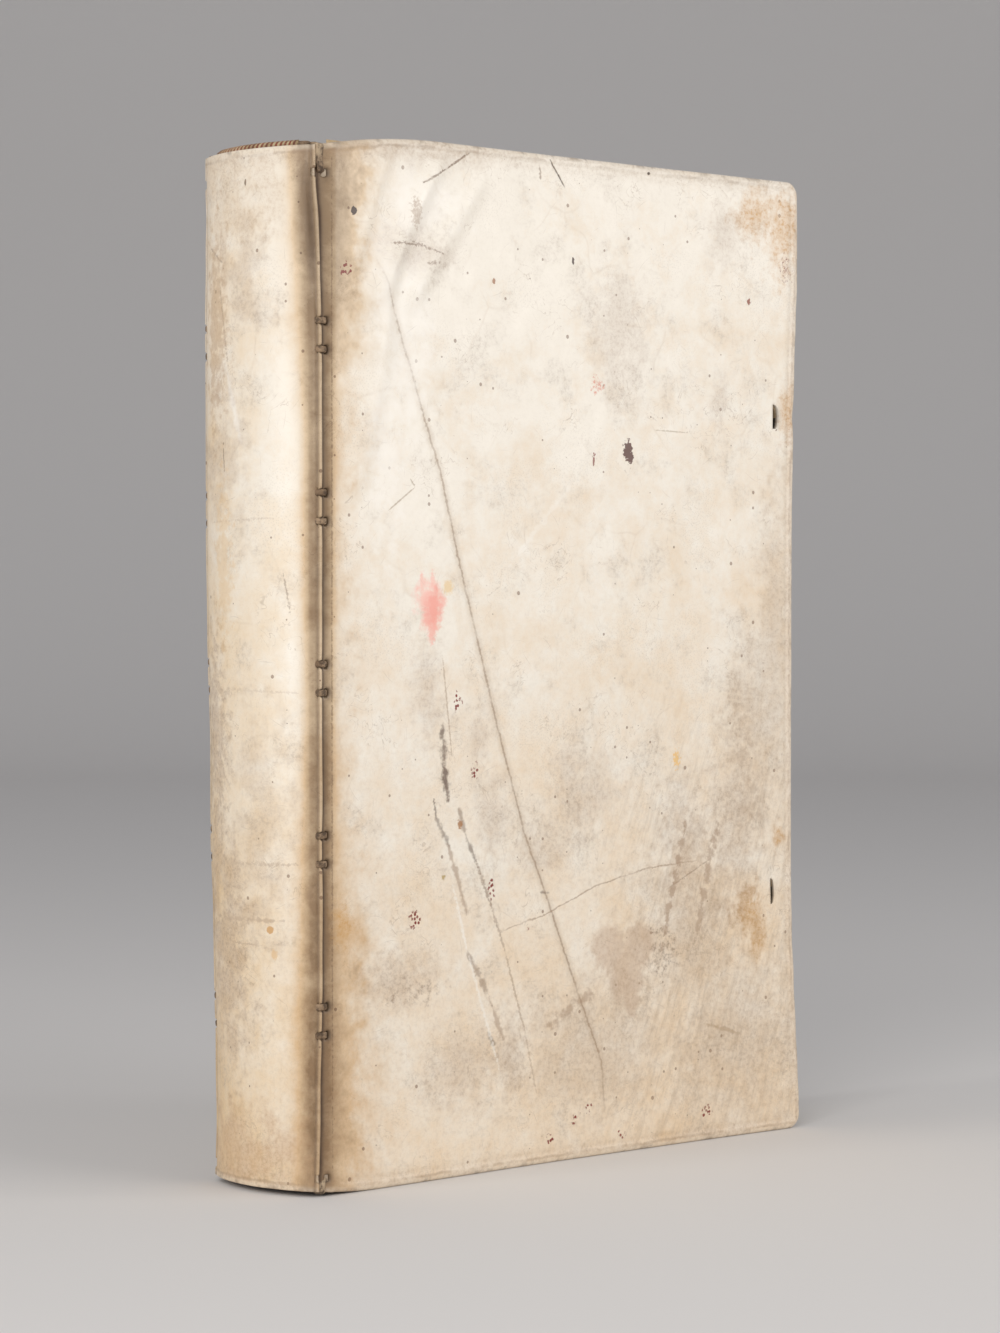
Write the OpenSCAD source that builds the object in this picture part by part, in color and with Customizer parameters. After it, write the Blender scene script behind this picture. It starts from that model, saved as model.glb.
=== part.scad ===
// Antique folio in a laced parchment binding, standing closed on its tail edges.
// X runs from the spine to the fore-edge, the front cover faces -Y, and Z is up.
// The origin is the middle of the footprint on the table. All sizes are in millimetres.

/* [Covers] */
// Height of the covers
cover_h = 385; // [330:1:430]
// Width of a cover, from the spine's ridge to the fore-edge
cover_w = 258; // [200:1:320]
// Thickness of the closed book over both covers
book_t = 64; // [50:0.5:90]
// Thickness of the pasteboards
board_t = 2.6; // [2:0.1:4]
// Thickness of the parchment skin
skin_t = 0.8; // [0.6:0.05:1]
// Thickness of the pastedown paper
paste_t = 0.4; // [0.3:0.05:0.6]
// Radius of the covers' fore-edge corners
corner_r = 6; // [3:0.5:12]
// Width of the skin turned in round the inside of a board
turn_in_w = 16; // [10:1:25]
// Margin of turned-in skin that the pastedown leaves bare
bare_margin = 3.5; // [2:0.5:8]
// Width of the cut where two turn-ins meet at a corner
mitre_w = 0.4; // [0.2:0.1:1]

/* [Spine and joints] */
// How far the spine bulges behind the ridges
spine_round = 9; // [6:0.5:13]
// How far the spine's skin stops below the covers at the head
spine_drop = 6; // [4:0.5:8]
// How far the spine's skin stops above the table at the tail
spine_lift = 2; // [1.8:0.1:3]
// Length over which a cover's head edge falls to the spine
head_fall_l = 60; // [40:1:90]
// Length over which a cover's tail edge rises to the spine
tail_rise_l = 30; // [20:1:60]
// Depth of the turned-in skin at the spine's head and tail
spine_turn_in = 14; // [8:1:20]
// Distance from the ridge to the crease that the cover turns on
joint_w = 5.3; // [5:0.1:8]
// Depth of the joint's groove below the cover's face
joint_depth = 1.6; // [1.5:0.1:2]
// Distance from the cover's face in to the ridge
ridge_inset = 0.4; // [0.3:0.05:0.8]
// Length of the ridge's slope into the groove
ridge_slope = 1.2; // [0.8:0.1:1.3]

/* [Text block] */
// Distance from the covers' head edge down to the pages
head_square = 8.5; // [7.5:0.5:14]
// Distance from the covers' tail edge up to the pages
tail_square = 6; // [5.5:0.5:12]
// Distance from the covers' fore-edge in to the pages
fore_square = 4.5; // [2:0.5:10]
// Hollow of the rounded fore-edge
fore_hollow = 6; // [2:0.5:10]
// Thickness of one folded section of leaves
section_t = 2.05; // [1.5:0.05:4]
// How far the shoulders stand out from the sides of the block
shoulder_out = 1.3; // [0.6:0.1:1.4]
// Length of the shoulders' slope back to the sides
shoulder_slope = 1.8; // [1:0.1:2.4]
// Thickness of the linings on the back of the sections
lining_t = 0.5; // [0.3:0.1:0.6]

/* [Sewing supports] */
// Number of double supports
support_count = 5; // [3:1:5]
// Height of the lowest support's middle
first_support_z = 63.6; // [40:0.1:80]
// Distance from one support to the next
support_pitch = 61.8; // [40:0.1:64]
// Distance between the two thongs of a support
thong_spacing = 10.3; // [7:0.1:14]
// Width of a thong
thong_w = 3; // [2:0.1:4]
// Thickness of a thong
thong_t = 1; // [0.8:0.05:1.05]
// Distance from the ridge in to where a thong leaves the spine's round
thong_turn_in = 4.1; // [3.8:0.1:4.6]
// How much of each sharp bend a thong cuts short
bend_cut = 0.4; // [0.3:0.05:0.5]
// Length of the slip ends pasted down inside a cover
slip_l = 24; // [17:1:50]

/* [Endbands] */
// Radius of an endband's core
core_r = 1.9; // [1.5:0.1:2]
// Height that the thread stands off the core
thread_h = 0.6; // [0.4:0.1:0.7]
// Width of one band of thread
thread_band = 1.8; // [1.2:0.1:4]
// Gap between bands of thread
thread_gap = 0.1; // [0.05:0.05:0.3]
// Length of core left bare between the last thread and the slip
bare_core_l = 1; // [0.5:0.5:4]
// Width of the core's flattened slip
core_slip_w = 3; // [2:0.1:3.4]
// Distance from the spine's head or tail to the slip's hole
core_hole_in = 10; // [7:0.5:16]
// The same distance at the tail, where the hole is close to the edge
core_hole_in_tail = 4.1; // [3.5:0.1:8]

/* [Tie slits] */
// Length of a slit
slit_l = 10.4; // [6:0.1:16]
// Distance from the fore-edge to a slit
slit_inset = 13; // [11:0.5:30]
// Distance between the two slits of a cover
slit_spread = 192; // [120:1:240]
// How far the head slit gapes
head_slit_gape = 2.4; // [0.8:0.1:3]
// How far the tail slit gapes
tail_slit_gape = 1.5; // [0.8:0.1:3]

/* [Clearances] */
// Gap between pieces that lie against each other
seat_gap = 0.3; // [0.2:0.05:0.3]
// Gap round what is pasted in
paste_gap = 0.1; // [0.05:0.05:0.15]
// Gap round a thong or slip in its hole
hole_gap = 0.15; // [0.1:0.05:0.25]
// Skin left between a hole and the crease
hole_edge = 0.4; // [0.3:0.05:0.6]
// Gap between a cover and the joint that it turns beside
swing_gap = 0.3; // [0.2:0.05:0.4]

/* [Hidden] */
$fn = 96;
thong_names = [for (i = [1:support_count], place = ["lower", "upper"]) str("thong_", i, "_", place)];

parchment = [0.93, 0.88, 0.78];
pasteboard = [0.62, 0.54, 0.43];
laid_paper = [0.91, 0.86, 0.74];
tawed_skin = [0.84, 0.79, 0.70];
plain_thread = [0.86, 0.80, 0.68];
red_thread = [0.55, 0.27, 0.20];

// Depths from the middle of the book outwards, along Y
face_y = book_t / 2;
board_out_y = face_y - skin_t;
board_in_y = board_out_y - board_t;
turn_in_y = board_in_y - skin_t;
paste_in_y = turn_in_y - paste_t;
text_half_t = paste_in_y - seat_gap;
shoulder_y = text_half_t + shoulder_out;
ridge_y = face_y - ridge_inset;
groove_y = face_y - joint_depth;
groove_in_y = groove_y - skin_t;
bridge_y = ridge_y - thong_t / 2;
thong_turn_y = ridge_y - thong_turn_in;
slip_hole_y = shoulder_y + seat_gap + thong_t / 2;

// Heights
spine_top = cover_h - spine_drop;
text_top = cover_h - head_square;

// The round of the spine: circles about one axis behind the joints
function arc_radius(half_chord, rise) = (half_chord * half_chord + rise * rise) / (2 * rise);
function arc_x(radius, y) = spine_axis_x - sqrt(radius * radius - y * y);
skin_out_r = arc_radius(ridge_y, spine_round);
spine_axis_x = skin_out_r - spine_round;
skin_in_r = skin_out_r - skin_t;
thong_r = skin_in_r - seat_gap - thong_t / 2;
text_back_r = thong_r - thong_t / 2 - seat_gap;
endband_r = text_back_r - core_r - thread_h;
endband_angle = asin((text_half_t - core_r) / endband_r);

// Places along X, measured from the ridge
band_end_x = joint_w - swing_gap / 2;
lip_x = joint_w + swing_gap / 2;
board_x = lip_x + skin_t + paste_gap;
shoulder_x = band_end_x - shoulder_slope;
text_fore_x = cover_w - fore_square;
slip_hole_x = band_end_x - hole_edge - hole_gap - thong_t / 2;
core_slip_x = band_end_x - hole_edge - hole_gap - core_slip_w;
centre_shift = (cover_w - spine_round) / 2;

// Heights of the thongs and of the endbands' slip holes
thong_z = [for (i = [0:support_count - 1], side = [-1, 1])
    first_support_z + i * support_pitch + side * thong_spacing / 2];
head_hole_z = spine_top - core_hole_in;
tail_hole_z = spine_lift + core_hole_in_tail;
slip_z = concat([tail_hole_z + core_slip_w / 2], thong_z, [head_hole_z]);

// Moves what is drawn from the ridge to the middle of the footprint
module placed() {
    translate([-centre_shift, 0, 0]) children();
}

// Draws the same piece for the back cover
module at_back() {
    mirror([0, 1, 0]) children();
}

// A slab between two depths in front of the middle, from an outline in X and Z
module slab(outer_y, inner_y) {
    translate([0, -inner_y, 0])
        rotate([90, 0, 0])
            linear_extrude(outer_y - inner_y)
                children();
}

// A strip of even thickness along a run of points, round at each bend
module strip(points, thickness) {
    for (i = [0:len(points) - 2]) {
        step = points[i + 1] - points[i];
        translate(points[i])
            rotate(atan2(step[1], step[0]))
                translate([0, -thickness / 2])
                    square([norm(step), thickness]);
    }
    for (i = [1:len(points) - 2])
        translate(points[i]) circle(d = thickness, $fn = 24);
}

// What a quarter circle leaves of its square corner; the circle lies towards the signs
module corner_waste(centre, radius, signs) {
    translate(centre)
        difference() {
            translate([signs[0] < 0 ? -radius - 1 : 0, signs[1] < 0 ? -radius - 1 : 0])
                square(radius + 1);
            circle(radius);
        }
}

// What an edge loses where it curves away towards the spine
module falling_edge(length, fall, edge_z, up, inset) {
    radius = arc_radius(length, fall);
    difference() {
        translate([-spine_round, up > 0 ? edge_z - fall - skin_t - 1 : edge_z - 1])
            square([length + spine_round, fall + skin_t + 2]);
        translate([length, edge_z - up * radius]) circle(radius - inset, $fn = 360);
    }
}

// Outline of a cover in X and Z, drawn in from its edges by an inset
module cover_outline(inset, from_x) {
    fore_x = cover_w - corner_r;
    difference() {
        translate([from_x, inset])
            square([cover_w - inset - from_x, cover_h - 2 * inset]);
        corner_waste([fore_x, corner_r], corner_r - inset, [1, -1]);
        corner_waste([fore_x, cover_h - corner_r], corner_r - inset, [1, 1]);
        falling_edge(head_fall_l, spine_drop, cover_h, 1, inset);
        falling_edge(tail_rise_l, spine_lift, 0, -1, inset);
    }
}

// A tie slit: one straight lip and one that has sprung open
module slit(gape, gap) {
    radius = arc_radius(slit_l / 2, gape);
    intersection() {
        translate([0, -slit_l / 2 - gap]) square([gape + gap, slit_l + 2 * gap]);
        translate([gape - radius, 0]) circle(radius + gap, $fn = 180);
    }
}

module tie_slits(gap = 0) {
    for (end = [[-1, tail_slit_gape], [1, head_slit_gape]])
        translate([cover_w - slit_inset, cover_h / 2 + end[0] * slit_spread / 2])
            slit(end[1], gap);
}

// The skin of one cover: its face, its folded edges and its turn-ins
module cover_vellum() {
    color(parchment)
    difference() {
        slab(face_y, turn_in_y) cover_outline(0, lip_x);
        // Pocket that the board fills, open towards the spine below the lip
        slab(board_out_y, board_in_y) cover_outline(skin_t, lip_x + skin_t);
        slab(groove_in_y, turn_in_y - 1)
            translate([lip_x - 1, -1]) square([skin_t + 1, cover_h + 2]);
        // Window inside the turn-ins
        slab(board_in_y, turn_in_y - 1)
            translate([lip_x - 1, turn_in_w])
                square([cover_w - turn_in_w - lip_x + 1, cover_h - 2 * turn_in_w]);
        // Mitres where the turn-ins meet
        for (corner = [[0, -1], [cover_h, 1]])
            slab(board_in_y, turn_in_y - 1)
                translate([cover_w - turn_in_w, corner[0] - corner[1] * turn_in_w])
                    rotate(corner[1] * 45)
                        translate([-1, -mitre_w / 2])
                            square([turn_in_w * sqrt(2) - corner_r / 2, mitre_w]);
        slab(face_y + 1, turn_in_y - 1) tie_slits();
    }
}

// The pasteboard that stiffens a cover
module cover_board() {
    color(pasteboard)
    slab(board_out_y, board_in_y)
        difference() {
            cover_outline(skin_t + paste_gap, board_x);
            tie_slits(paste_gap);
        }
}

// Slip ends, pasted down on the inside of the board under the pastedown
module cover_slip_ends() {
    color(tawed_skin)
    for (z = slip_z)
        slab(board_in_y, turn_in_y)
            translate([board_x, slip_end_z(z) - thong_w / 2]) square([slip_l, thong_w]);
}

// The slips of the endbands run clear of the turned-in skin
function slip_end_z(z) = min(max(z, turn_in_w + thong_w / 2 + 1), cover_h - turn_in_w - thong_w / 2 - 1);

// Pastedown: one sheet over board and turn-ins, raised over each slip end
module cover_pastedown() {
    sheet_h = cover_h - 2 * bare_margin;
    window_h = cover_h - 2 * turn_in_w;
    rise_w = thong_w + 2 * paste_t + 2 * paste_gap;
    color(laid_paper)
    difference() {
        union() {
            slab(turn_in_y, paste_in_y)
                translate([board_x, bare_margin])
                    square([cover_w - bare_margin - board_x, sheet_h]);
            slab(board_in_y, turn_in_y - paste_t / 2)
                translate([board_x, turn_in_w + paste_gap])
                    square([cover_w - turn_in_w - paste_gap - board_x, window_h - 2 * paste_gap]);
        }
        // The sheet sinks into the window inside the turn-ins
        difference() {
            slab(board_in_y - paste_t, paste_in_y - 1)
                translate([board_x - 1, turn_in_w + paste_t])
                    square([cover_w - turn_in_w - paste_t - board_x + 1, window_h - 2 * paste_t]);
            for (z = slip_z)
                slab(board_in_y, paste_in_y - 2)
                    translate([board_x - 2, slip_end_z(z) - rise_w / 2])
                        square([slip_l + 2 + paste_t, rise_w]);
        }
        for (z = slip_z)
            slab(board_in_y + 1, turn_in_y)
                translate([board_x - 1, slip_end_z(z) - thong_w / 2 - paste_gap])
                    square([slip_l + 1 + paste_gap, thong_w + 2 * paste_gap]);
    }
}

// Half plan of the spine's skin beside one ridge: the slope and the joint's band
module joint_band() {
    ridge_in_y = sqrt(skin_in_r * skin_in_r - spine_axis_x * spine_axis_x);
    polygon([
        [0, -ridge_y],
        [ridge_slope, -groove_y],
        [band_end_x, -groove_y],
        [band_end_x, -groove_in_y],
        [ridge_slope / 2, -groove_in_y],
        [0, -ridge_in_y],
    ]);
}

// A ring about the spine's axis, cut to the part behind a given place
module spine_ring(outer_r, inner_r, front_x) {
    intersection() {
        translate([spine_axis_x, 0])
            difference() {
                circle(outer_r, $fn = 360);
                circle(inner_r, $fn = 360);
            }
        translate([-spine_round - 1, -face_y]) square([spine_round + 1 + front_x, book_t]);
    }
}

// Skin over the spine, with its joint bands, turn-ins and lacing holes
module spine_vellum() {
    color(parchment)
    placed()
    difference() {
        union() {
            translate([0, 0, spine_lift])
                linear_extrude(spine_top - spine_lift) {
                    spine_ring(skin_out_r, skin_in_r, 0);
                    joint_band();
                    at_back() joint_band();
                }
            // Skin folded in at head and tail
            for (z = [spine_lift, spine_top - spine_turn_in])
                translate([0, 0, z])
                    linear_extrude(spine_turn_in)
                        spine_ring(skin_in_r + skin_t / 2, skin_in_r - skin_t, -ridge_slope);
        }
        for (z = thong_z) {
            lacing_holes(z);
            at_back() lacing_holes(z);
        }
        for (z = [head_hole_z, tail_hole_z]) {
            core_hole(z);
            at_back() core_hole(z);
        }
    }
}

// The two holes of one thong: out beside the ridge and in beside the crease
module lacing_holes(z) {
    height = thong_w + 2 * hole_gap;
    out_x = arc_x(thong_r, thong_turn_y) - thong_t / 2 - hole_gap;
    translate([out_x, -face_y, z - height / 2])
        cube([ridge_slope - out_x, face_y - thong_turn_y - thong_t / 2, height]);
    translate([slip_hole_x - thong_t / 2 - hole_gap, -face_y, z - height / 2])
        cube([thong_t + 2 * hole_gap, face_y - shoulder_y, height]);
}

// The hole that an endband's slip goes in by
module core_hole(z) {
    width = core_slip_w + 2 * hole_gap;
    height = thong_t + 2 * hole_gap;
    translate([core_slip_x - hole_gap, -face_y, z - height / 2])
        cube([width, face_y - shoulder_y, height]);
}

// Plan of one thong's way through the joint
module thong_slip() {
    strip([
        [arc_x(thong_r, thong_turn_y), -thong_turn_y],
        [ridge_slope / 5, -bridge_y + bend_cut],
        [ridge_slope * 0.75, -bridge_y],
        [slip_hole_x - bend_cut, -bridge_y],
        [slip_hole_x, -bridge_y + bend_cut],
        [slip_hole_x, -slip_hole_y],
    ], thong_t);
    translate([slip_hole_x, -slip_hole_y]) circle(d = thong_t, $fn = 24);
}

// One thong of a double support, round the back and out through both joints
module thong(index) {
    color(tawed_skin)
    placed()
    translate([0, 0, thong_z[index] - thong_w / 2])
        linear_extrude(thong_w) {
            intersection() {
                spine_ring(thong_r + thong_t / 2, thong_r - thong_t / 2, spine_round);
                translate([-spine_round - 1, -thong_turn_y])
                    square([2 * spine_round, 2 * thong_turn_y]);
            }
            thong_slip();
            at_back() thong_slip();
        }
}

// All the leaves, sewn and rounded: folds at the back, a hollow at the fore-edge
module text_block() {
    fold_r = section_t / 2;
    back_angle = asin(shoulder_y / text_back_r) - asin(fold_r / text_back_r);
    section_count = max(round(2 * back_angle * PI / 180 * text_back_r / section_t), 2);
    fore_r = arc_radius(text_half_t, fore_hollow);
    color(laid_paper)
    placed()
    translate([0, 0, tail_square])
        linear_extrude(text_top - tail_square)
            difference() {
                union() {
                    translate([spine_axis_x, 0])
                        for (i = [0:section_count])
                            rotate(180 + back_angle * (2 * i / section_count - 1))
                                translate([text_back_r - fold_r, 0])
                                    circle(fold_r, $fn = 24);
                    intersection() {
                        translate([spine_axis_x, 0]) circle(text_back_r - fold_r, $fn = 360);
                        translate([-spine_round, -shoulder_y])
                            square([shoulder_x + spine_round, 2 * shoulder_y]);
                    }
                    polygon([
                        [shoulder_x - 1, -shoulder_y],
                        [shoulder_x, -shoulder_y],
                        [band_end_x, -text_half_t],
                        [text_fore_x, -text_half_t],
                        [text_fore_x, text_half_t],
                        [band_end_x, text_half_t],
                        [shoulder_x, shoulder_y],
                        [shoulder_x - 1, shoulder_y],
                    ]);
                }
                translate([text_fore_x + fore_r - fore_hollow, 0]) circle(fore_r, $fn = 360);
            }
}

// Linings pasted on the back of the sections, between the supports
module spine_linings() {
    edge = thong_w / 2 + 2;
    starts = concat([tail_square + 1], [for (z = thong_z) z + edge]);
    ends = concat([for (z = thong_z) z - edge], [text_top - 1]);
    color(laid_paper)
    placed()
    for (i = [0:len(starts) - 1])
        if (ends[i] - starts[i] > edge)
            translate([0, 0, starts[i]])
                linear_extrude(ends[i] - starts[i])
                    spine_ring(text_back_r + paste_gap + lining_t, text_back_r + paste_gap, 0);
}

// Height of an endband's middle, on the head or the tail of the pages
function endband_z(up) = up > 0 ? text_top + core_r + thread_h : tail_square - core_r - thread_h;

// The core's slip, over the edge of the skin, down the joint and in at its hole
module core_slip(up) {
    over_z = up > 0 ? spine_top + seat_gap + thong_t / 2 : spine_lift - seat_gap - thong_t / 2;
    hole_z = up > 0 ? head_hole_z : tail_hole_z;
    translate([core_slip_x, 0, 0])
        rotate([90, 0, 90])
            linear_extrude(core_slip_w)
                strip([
                    [-text_half_t + core_r + 1, endband_z(up)],
                    [-shoulder_y - thong_t / 2, over_z],
                    [-bridge_y, over_z],
                    [-bridge_y, hole_z],
                    [-shoulder_y - seat_gap, hole_z],
                ], thong_t);
}

// The core of an endband, with its two slips
module endband_core(up) {
    color(tawed_skin)
    placed() {
        translate([spine_axis_x, 0, endband_z(up)])
            rotate(180 - endband_angle)
                rotate_extrude(angle = 2 * endband_angle, $fn = 360)
                    translate([endband_r, 0]) circle(core_r, $fn = 32);
        core_slip(up);
        at_back() core_slip(up);
    }
}

// Every second band of thread round an endband's core
module endband_thread(up, first) {
    pitch_angle = (thread_band + thread_gap) / endband_r * 180 / PI;
    free_angle = endband_angle - (core_slip_w + bare_core_l) / endband_r * 180 / PI;
    band_count = floor(2 * free_angle / pitch_angle);
    placed()
    translate([spine_axis_x, 0, endband_z(up)])
        for (i = [first:2:band_count - 1])
            rotate(180 + pitch_angle * (i - (band_count - 1) / 2))
                translate([endband_r, 0, 0])
                    rotate([90, 0, 0])
                        rotate_extrude($fn = 32)
                            translate([core_r + paste_gap, -thread_band / 2])
                                square([thread_h - paste_gap, thread_band]);
}

text_block();
spine_linings();
spine_vellum();
for (i = [0:2 * support_count - 1])
    thong(i);
endband_core(1);  // headband_core
color(plain_thread) endband_thread(1, 0);  // headband_plain_thread
color(red_thread) endband_thread(1, 1);  // headband_red_thread
endband_core(-1);  // tailband_core
color(plain_thread) endband_thread(-1, 0);  // tailband_plain_thread
color(red_thread) endband_thread(-1, 1);  // tailband_red_thread
placed() cover_vellum();  // front_vellum
placed() cover_board();  // front_board
placed() cover_pastedown();  // front_pastedown
placed() cover_slip_ends();  // front_slip_ends
placed() at_back() cover_vellum();  // back_vellum
placed() at_back() cover_board();  // back_board
placed() at_back() cover_pastedown();  // back_pastedown
placed() at_back() cover_slip_ends();  // back_slip_ends
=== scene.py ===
"""A tall folio in a laced parchment case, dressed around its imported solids."""

import logging
import math
from dataclasses import dataclass, field
from enum import Enum
from typing import Any, Callable, Iterable, Sequence

import bmesh
import bpy
from mathutils import Matrix, Vector, noise


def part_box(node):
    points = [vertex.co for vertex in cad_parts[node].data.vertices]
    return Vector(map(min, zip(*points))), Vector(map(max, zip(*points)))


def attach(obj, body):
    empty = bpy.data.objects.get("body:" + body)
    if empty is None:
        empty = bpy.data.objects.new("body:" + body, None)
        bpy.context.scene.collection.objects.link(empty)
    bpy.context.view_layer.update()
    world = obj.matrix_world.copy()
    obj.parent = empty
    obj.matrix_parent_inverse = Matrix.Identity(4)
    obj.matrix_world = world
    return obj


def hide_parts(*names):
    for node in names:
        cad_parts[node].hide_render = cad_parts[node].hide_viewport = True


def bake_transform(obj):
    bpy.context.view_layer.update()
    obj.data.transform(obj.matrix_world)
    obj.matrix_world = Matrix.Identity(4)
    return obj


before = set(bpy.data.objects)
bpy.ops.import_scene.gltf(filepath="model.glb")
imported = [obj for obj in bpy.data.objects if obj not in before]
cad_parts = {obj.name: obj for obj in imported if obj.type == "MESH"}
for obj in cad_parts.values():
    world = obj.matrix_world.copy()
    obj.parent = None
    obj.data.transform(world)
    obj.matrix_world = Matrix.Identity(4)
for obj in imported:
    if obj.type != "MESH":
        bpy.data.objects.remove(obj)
LOG = logging.getLogger("folio")
MM = 0.001
Tint = tuple[int, int, int]
RimPlace = tuple[Vector, Vector, float, Vector]
Pair = tuple[float, float]
Mesh = bmesh.types.BMesh
Material = bpy.types.Material
Node = bpy.types.Node
Piece = bpy.types.Object
FOLD_POWER = 0.75
FOLD_ANGLES = [math.radians(90 - 180 * k / 8) for k in range(1, 9)]
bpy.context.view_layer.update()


def soft(t: float) -> float:
    """Smooth step from 0 to 1 over the same range of t."""
    t = min(max(t, 0.0), 1.0)
    return t * t * (3 - 2 * t)


def bump(t: float) -> float:
    """A bell that is 1 at t = 0 and about nothing beyond t = 2."""
    return math.exp(-t * t)


def rough(x: float, y: float, z: float = 0.0) -> float:
    """Steady unevenness between about -1 and 1 at a place."""
    return noise.noise(Vector((x, y, z)))


def along(points: Sequence[Pair], t: float) -> float:
    """Reads a smooth line through (t, value) points.

    Args:
        points: Pairs in rising order of t.
        t: Where to read.

    Returns:
        The value, held level beyond both ends.
    """
    if t <= points[0][0]:
        return points[0][1]
    for (t0, v0), (t1, v1) in zip(points, points[1:]):
        if t <= t1:
            return v0 + (v1 - v0) * soft((t - t0) / (t1 - t0))
    return points[-1][1]


def merged(values: Iterable[float], least: float) -> list[float]:
    """Sorts stations and drops those nearer than a least step.

    Args:
        values: Stations in any order.
        least: The smallest step that is kept.

    Returns:
        The rising list, with its first and last stations kept.
    """
    rising = sorted(values)
    kept = [rising[0]]
    for value in rising[1:-1]:
        if value - kept[-1] >= least and rising[-1] - value >= least:
            kept.append(value)
    return kept + [rising[-1]]


class Side(Enum):
    """The two covers, by the direction in which each faces along Y."""

    FRONT = -1
    BACK = 1

    @property
    def body(self) -> str:
        """The body that the cover rides on."""
        return "front_cover" if self is Side.FRONT else "back_cover"

    @property
    def word(self) -> str:
        """Front or back, as the pieces are named."""
        return self.name.lower()


class End(Enum):
    """The two ends of the spine."""

    HEAD = 1
    TAIL = -1

    @property
    def word(self) -> str:
        """Head or tail, as the pieces are named."""
        return self.name.lower()


@dataclass(frozen=True)
class FolioSizes:
    """Sizes in millimetres, from the ridge of the joint, as in the solids."""

    height: float = 385.0
    middle: float = 190.0
    width: float = 258.0
    centre_shift: float = 124.5
    face: float = 32.0
    turn_in: float = 27.8
    paste_in: float = 27.4
    text_half: float = 27.1
    shoulder: float = 28.4
    corner_r: float = 6.0
    turn_in_w: float = 16.0
    margin: float = 3.5
    board_x: float = 6.35
    hinge_x: float = 5.3
    spine_r: float = 59.98
    spine_axis: float = 50.98
    ridge: float = 31.6
    head_fall: float = 6.0
    head_fall_l: float = 60.0
    tail_rise: float = 2.0
    tail_rise_l: float = 30.0
    text_low: float = 6.0
    text_high: float = 376.5
    text_fore: float = 253.5
    text_back_r: float = 57.58
    section: float = 2.05
    thongs: tuple[float, ...] = (
        58.45, 68.75, 120.25, 130.55, 182.05, 192.35, 243.85, 254.15, 305.65, 315.95,
    )
    arc: float = 67.2
    head_hole: float = 369.0
    tail_hole: float = 6.1
    slip_l: float = 24.0
    slip_in: float = 18.5
    slits: tuple[tuple[float, float, float], ...] = ((97.0, 1.9, 0.35), (289.3, 3.0, 0.75))
    slit_x: float = 244.4
    slit_half: float = 5.2

    def row(self, x: float, y: float, z: float) -> Vector:
        """Turns a place in millimetres from the ridge into the frame's metres."""
        return Vector(((x - self.centre_shift) * MM, y * MM, z * MM))

    def head_at(self, x: float) -> float:
        """Height of a cover's head edge, which falls towards the spine."""
        reach = self.head_fall_l - max(x, 0.0)
        if reach <= 0:
            return self.height
        r = (self.head_fall_l**2 + self.head_fall**2) / (2 * self.head_fall)
        return self.height - r + math.sqrt(r * r - reach * reach)

    def tail_at(self, x: float) -> float:
        """Height of a cover's tail edge, which lifts towards the spine."""
        reach = self.tail_rise_l - max(x, 0.0)
        if reach <= 0:
            return 0.0
        r = (self.tail_rise_l**2 + self.tail_rise**2) / (2 * self.tail_rise)
        return r - math.sqrt(r * r - reach * reach)

    def pasted_at(self, station: float) -> float:
        """Height at which a slip from a lacing hole is pasted down."""
        return min(max(station, self.slip_in), self.height - self.slip_in)

    @property
    def stations(self) -> tuple[float, ...]:
        """Heights of every lacing hole beside the joint."""
        return (self.tail_hole + 0.6, *self.thongs, self.head_hole)


SIZES = FolioSizes()


@dataclass(frozen=True)
class Settling:
    """How the old book has leaned and flared, as shifts in millimetres."""

    back_lean: tuple[Pair, ...] = (
        (0, -4.8), (22, -5.6), (48, -4.9), (72, -3.9), (100, -3.4), (128, -1.9), (160, -1.9), (200, -0.3),
        (245, 0.5), (285, 0.5), (315, 0.7), (340, 0.2), (358, -0.4), (370, 0.2), (385, 0.2),
    )
    ridge_back: tuple[Pair, ...] = (
        (2, 1.3), (30, 0.9), (70, 0.1), (300, 0.1), (335, 0.6), (352, 1.2), (365, 1.9), (379, 1.7),
    )
    ridge_in: tuple[Pair, ...] = (
        (2, 0.5), (40, 0.3), (80, 0.0), (310, 0.0), (345, 0.5), (368, 1.3), (379, 1.6),
    )
    corner_flare: tuple[Pair, ...] = (
        (0, 5.0), (12, 4.8), (25, 4.2), (40, 3.3), (60, 2.2), (80, 1.1), (105, 0.5), (240, 0.6), (290, 1.4),
        (310, 2.0), (330, 2.7), (345, 3.3), (385, 3.3),
    )

    flare_x: float = 105.0

    def flare(self, side: Side, x: float, z: float) -> float:
        """How far a cover's corner stands out from flat."""
        reach = max(x - self.flare_x, 0.0) / (SIZES.width - self.flare_x)
        level = along(self.corner_flare, z) * (1.0 if side is Side.FRONT else 0.75)
        return level * reach**1.6

    def moved(self, p: Vector, cover: Side | None = None) -> Vector:
        """Shifts a place of the true book to where it lies now.

        Args:
            p: Place in millimetres from the ridge.
            cover: The cover that the place belongs to, if any.

        Returns:
            The shifted place.
        """
        x, y, z = p
        sign = -1.0 if y < 0 else 1.0
        if x >= 0:
            near = 1 - soft(x / SIZES.hinge_x)
        else:
            near = soft((abs(y) - 12) / 18)
        if cover is not None and x < 0:
            near = 1.0
        share = 1.0 if sign < 0 else 0.5
        x2 = x - share * near * along(self.ridge_back, z)
        y2 = y - sign * share * near * along(self.ridge_in, z)
        y2 += along(self.back_lean, z) * min(max((y + SIZES.face) / (2 * SIZES.face), 0.0), 1.05)
        if cover is not None:
            y2 += cover.value * self.flare(cover, x, z)
        return Vector((x2, y2, z))


SETTLING = Settling()


# Layers of the broad tint spots, in order: the first is painted sheen, the last grime with painted shade
# under the head edge.
STAIN_AND_PAINTED_LIGHT_LAYERS = ("painted_sheen", "stain_b", "stain_c", "stain_d", "grime_and_rim_shade")


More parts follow.
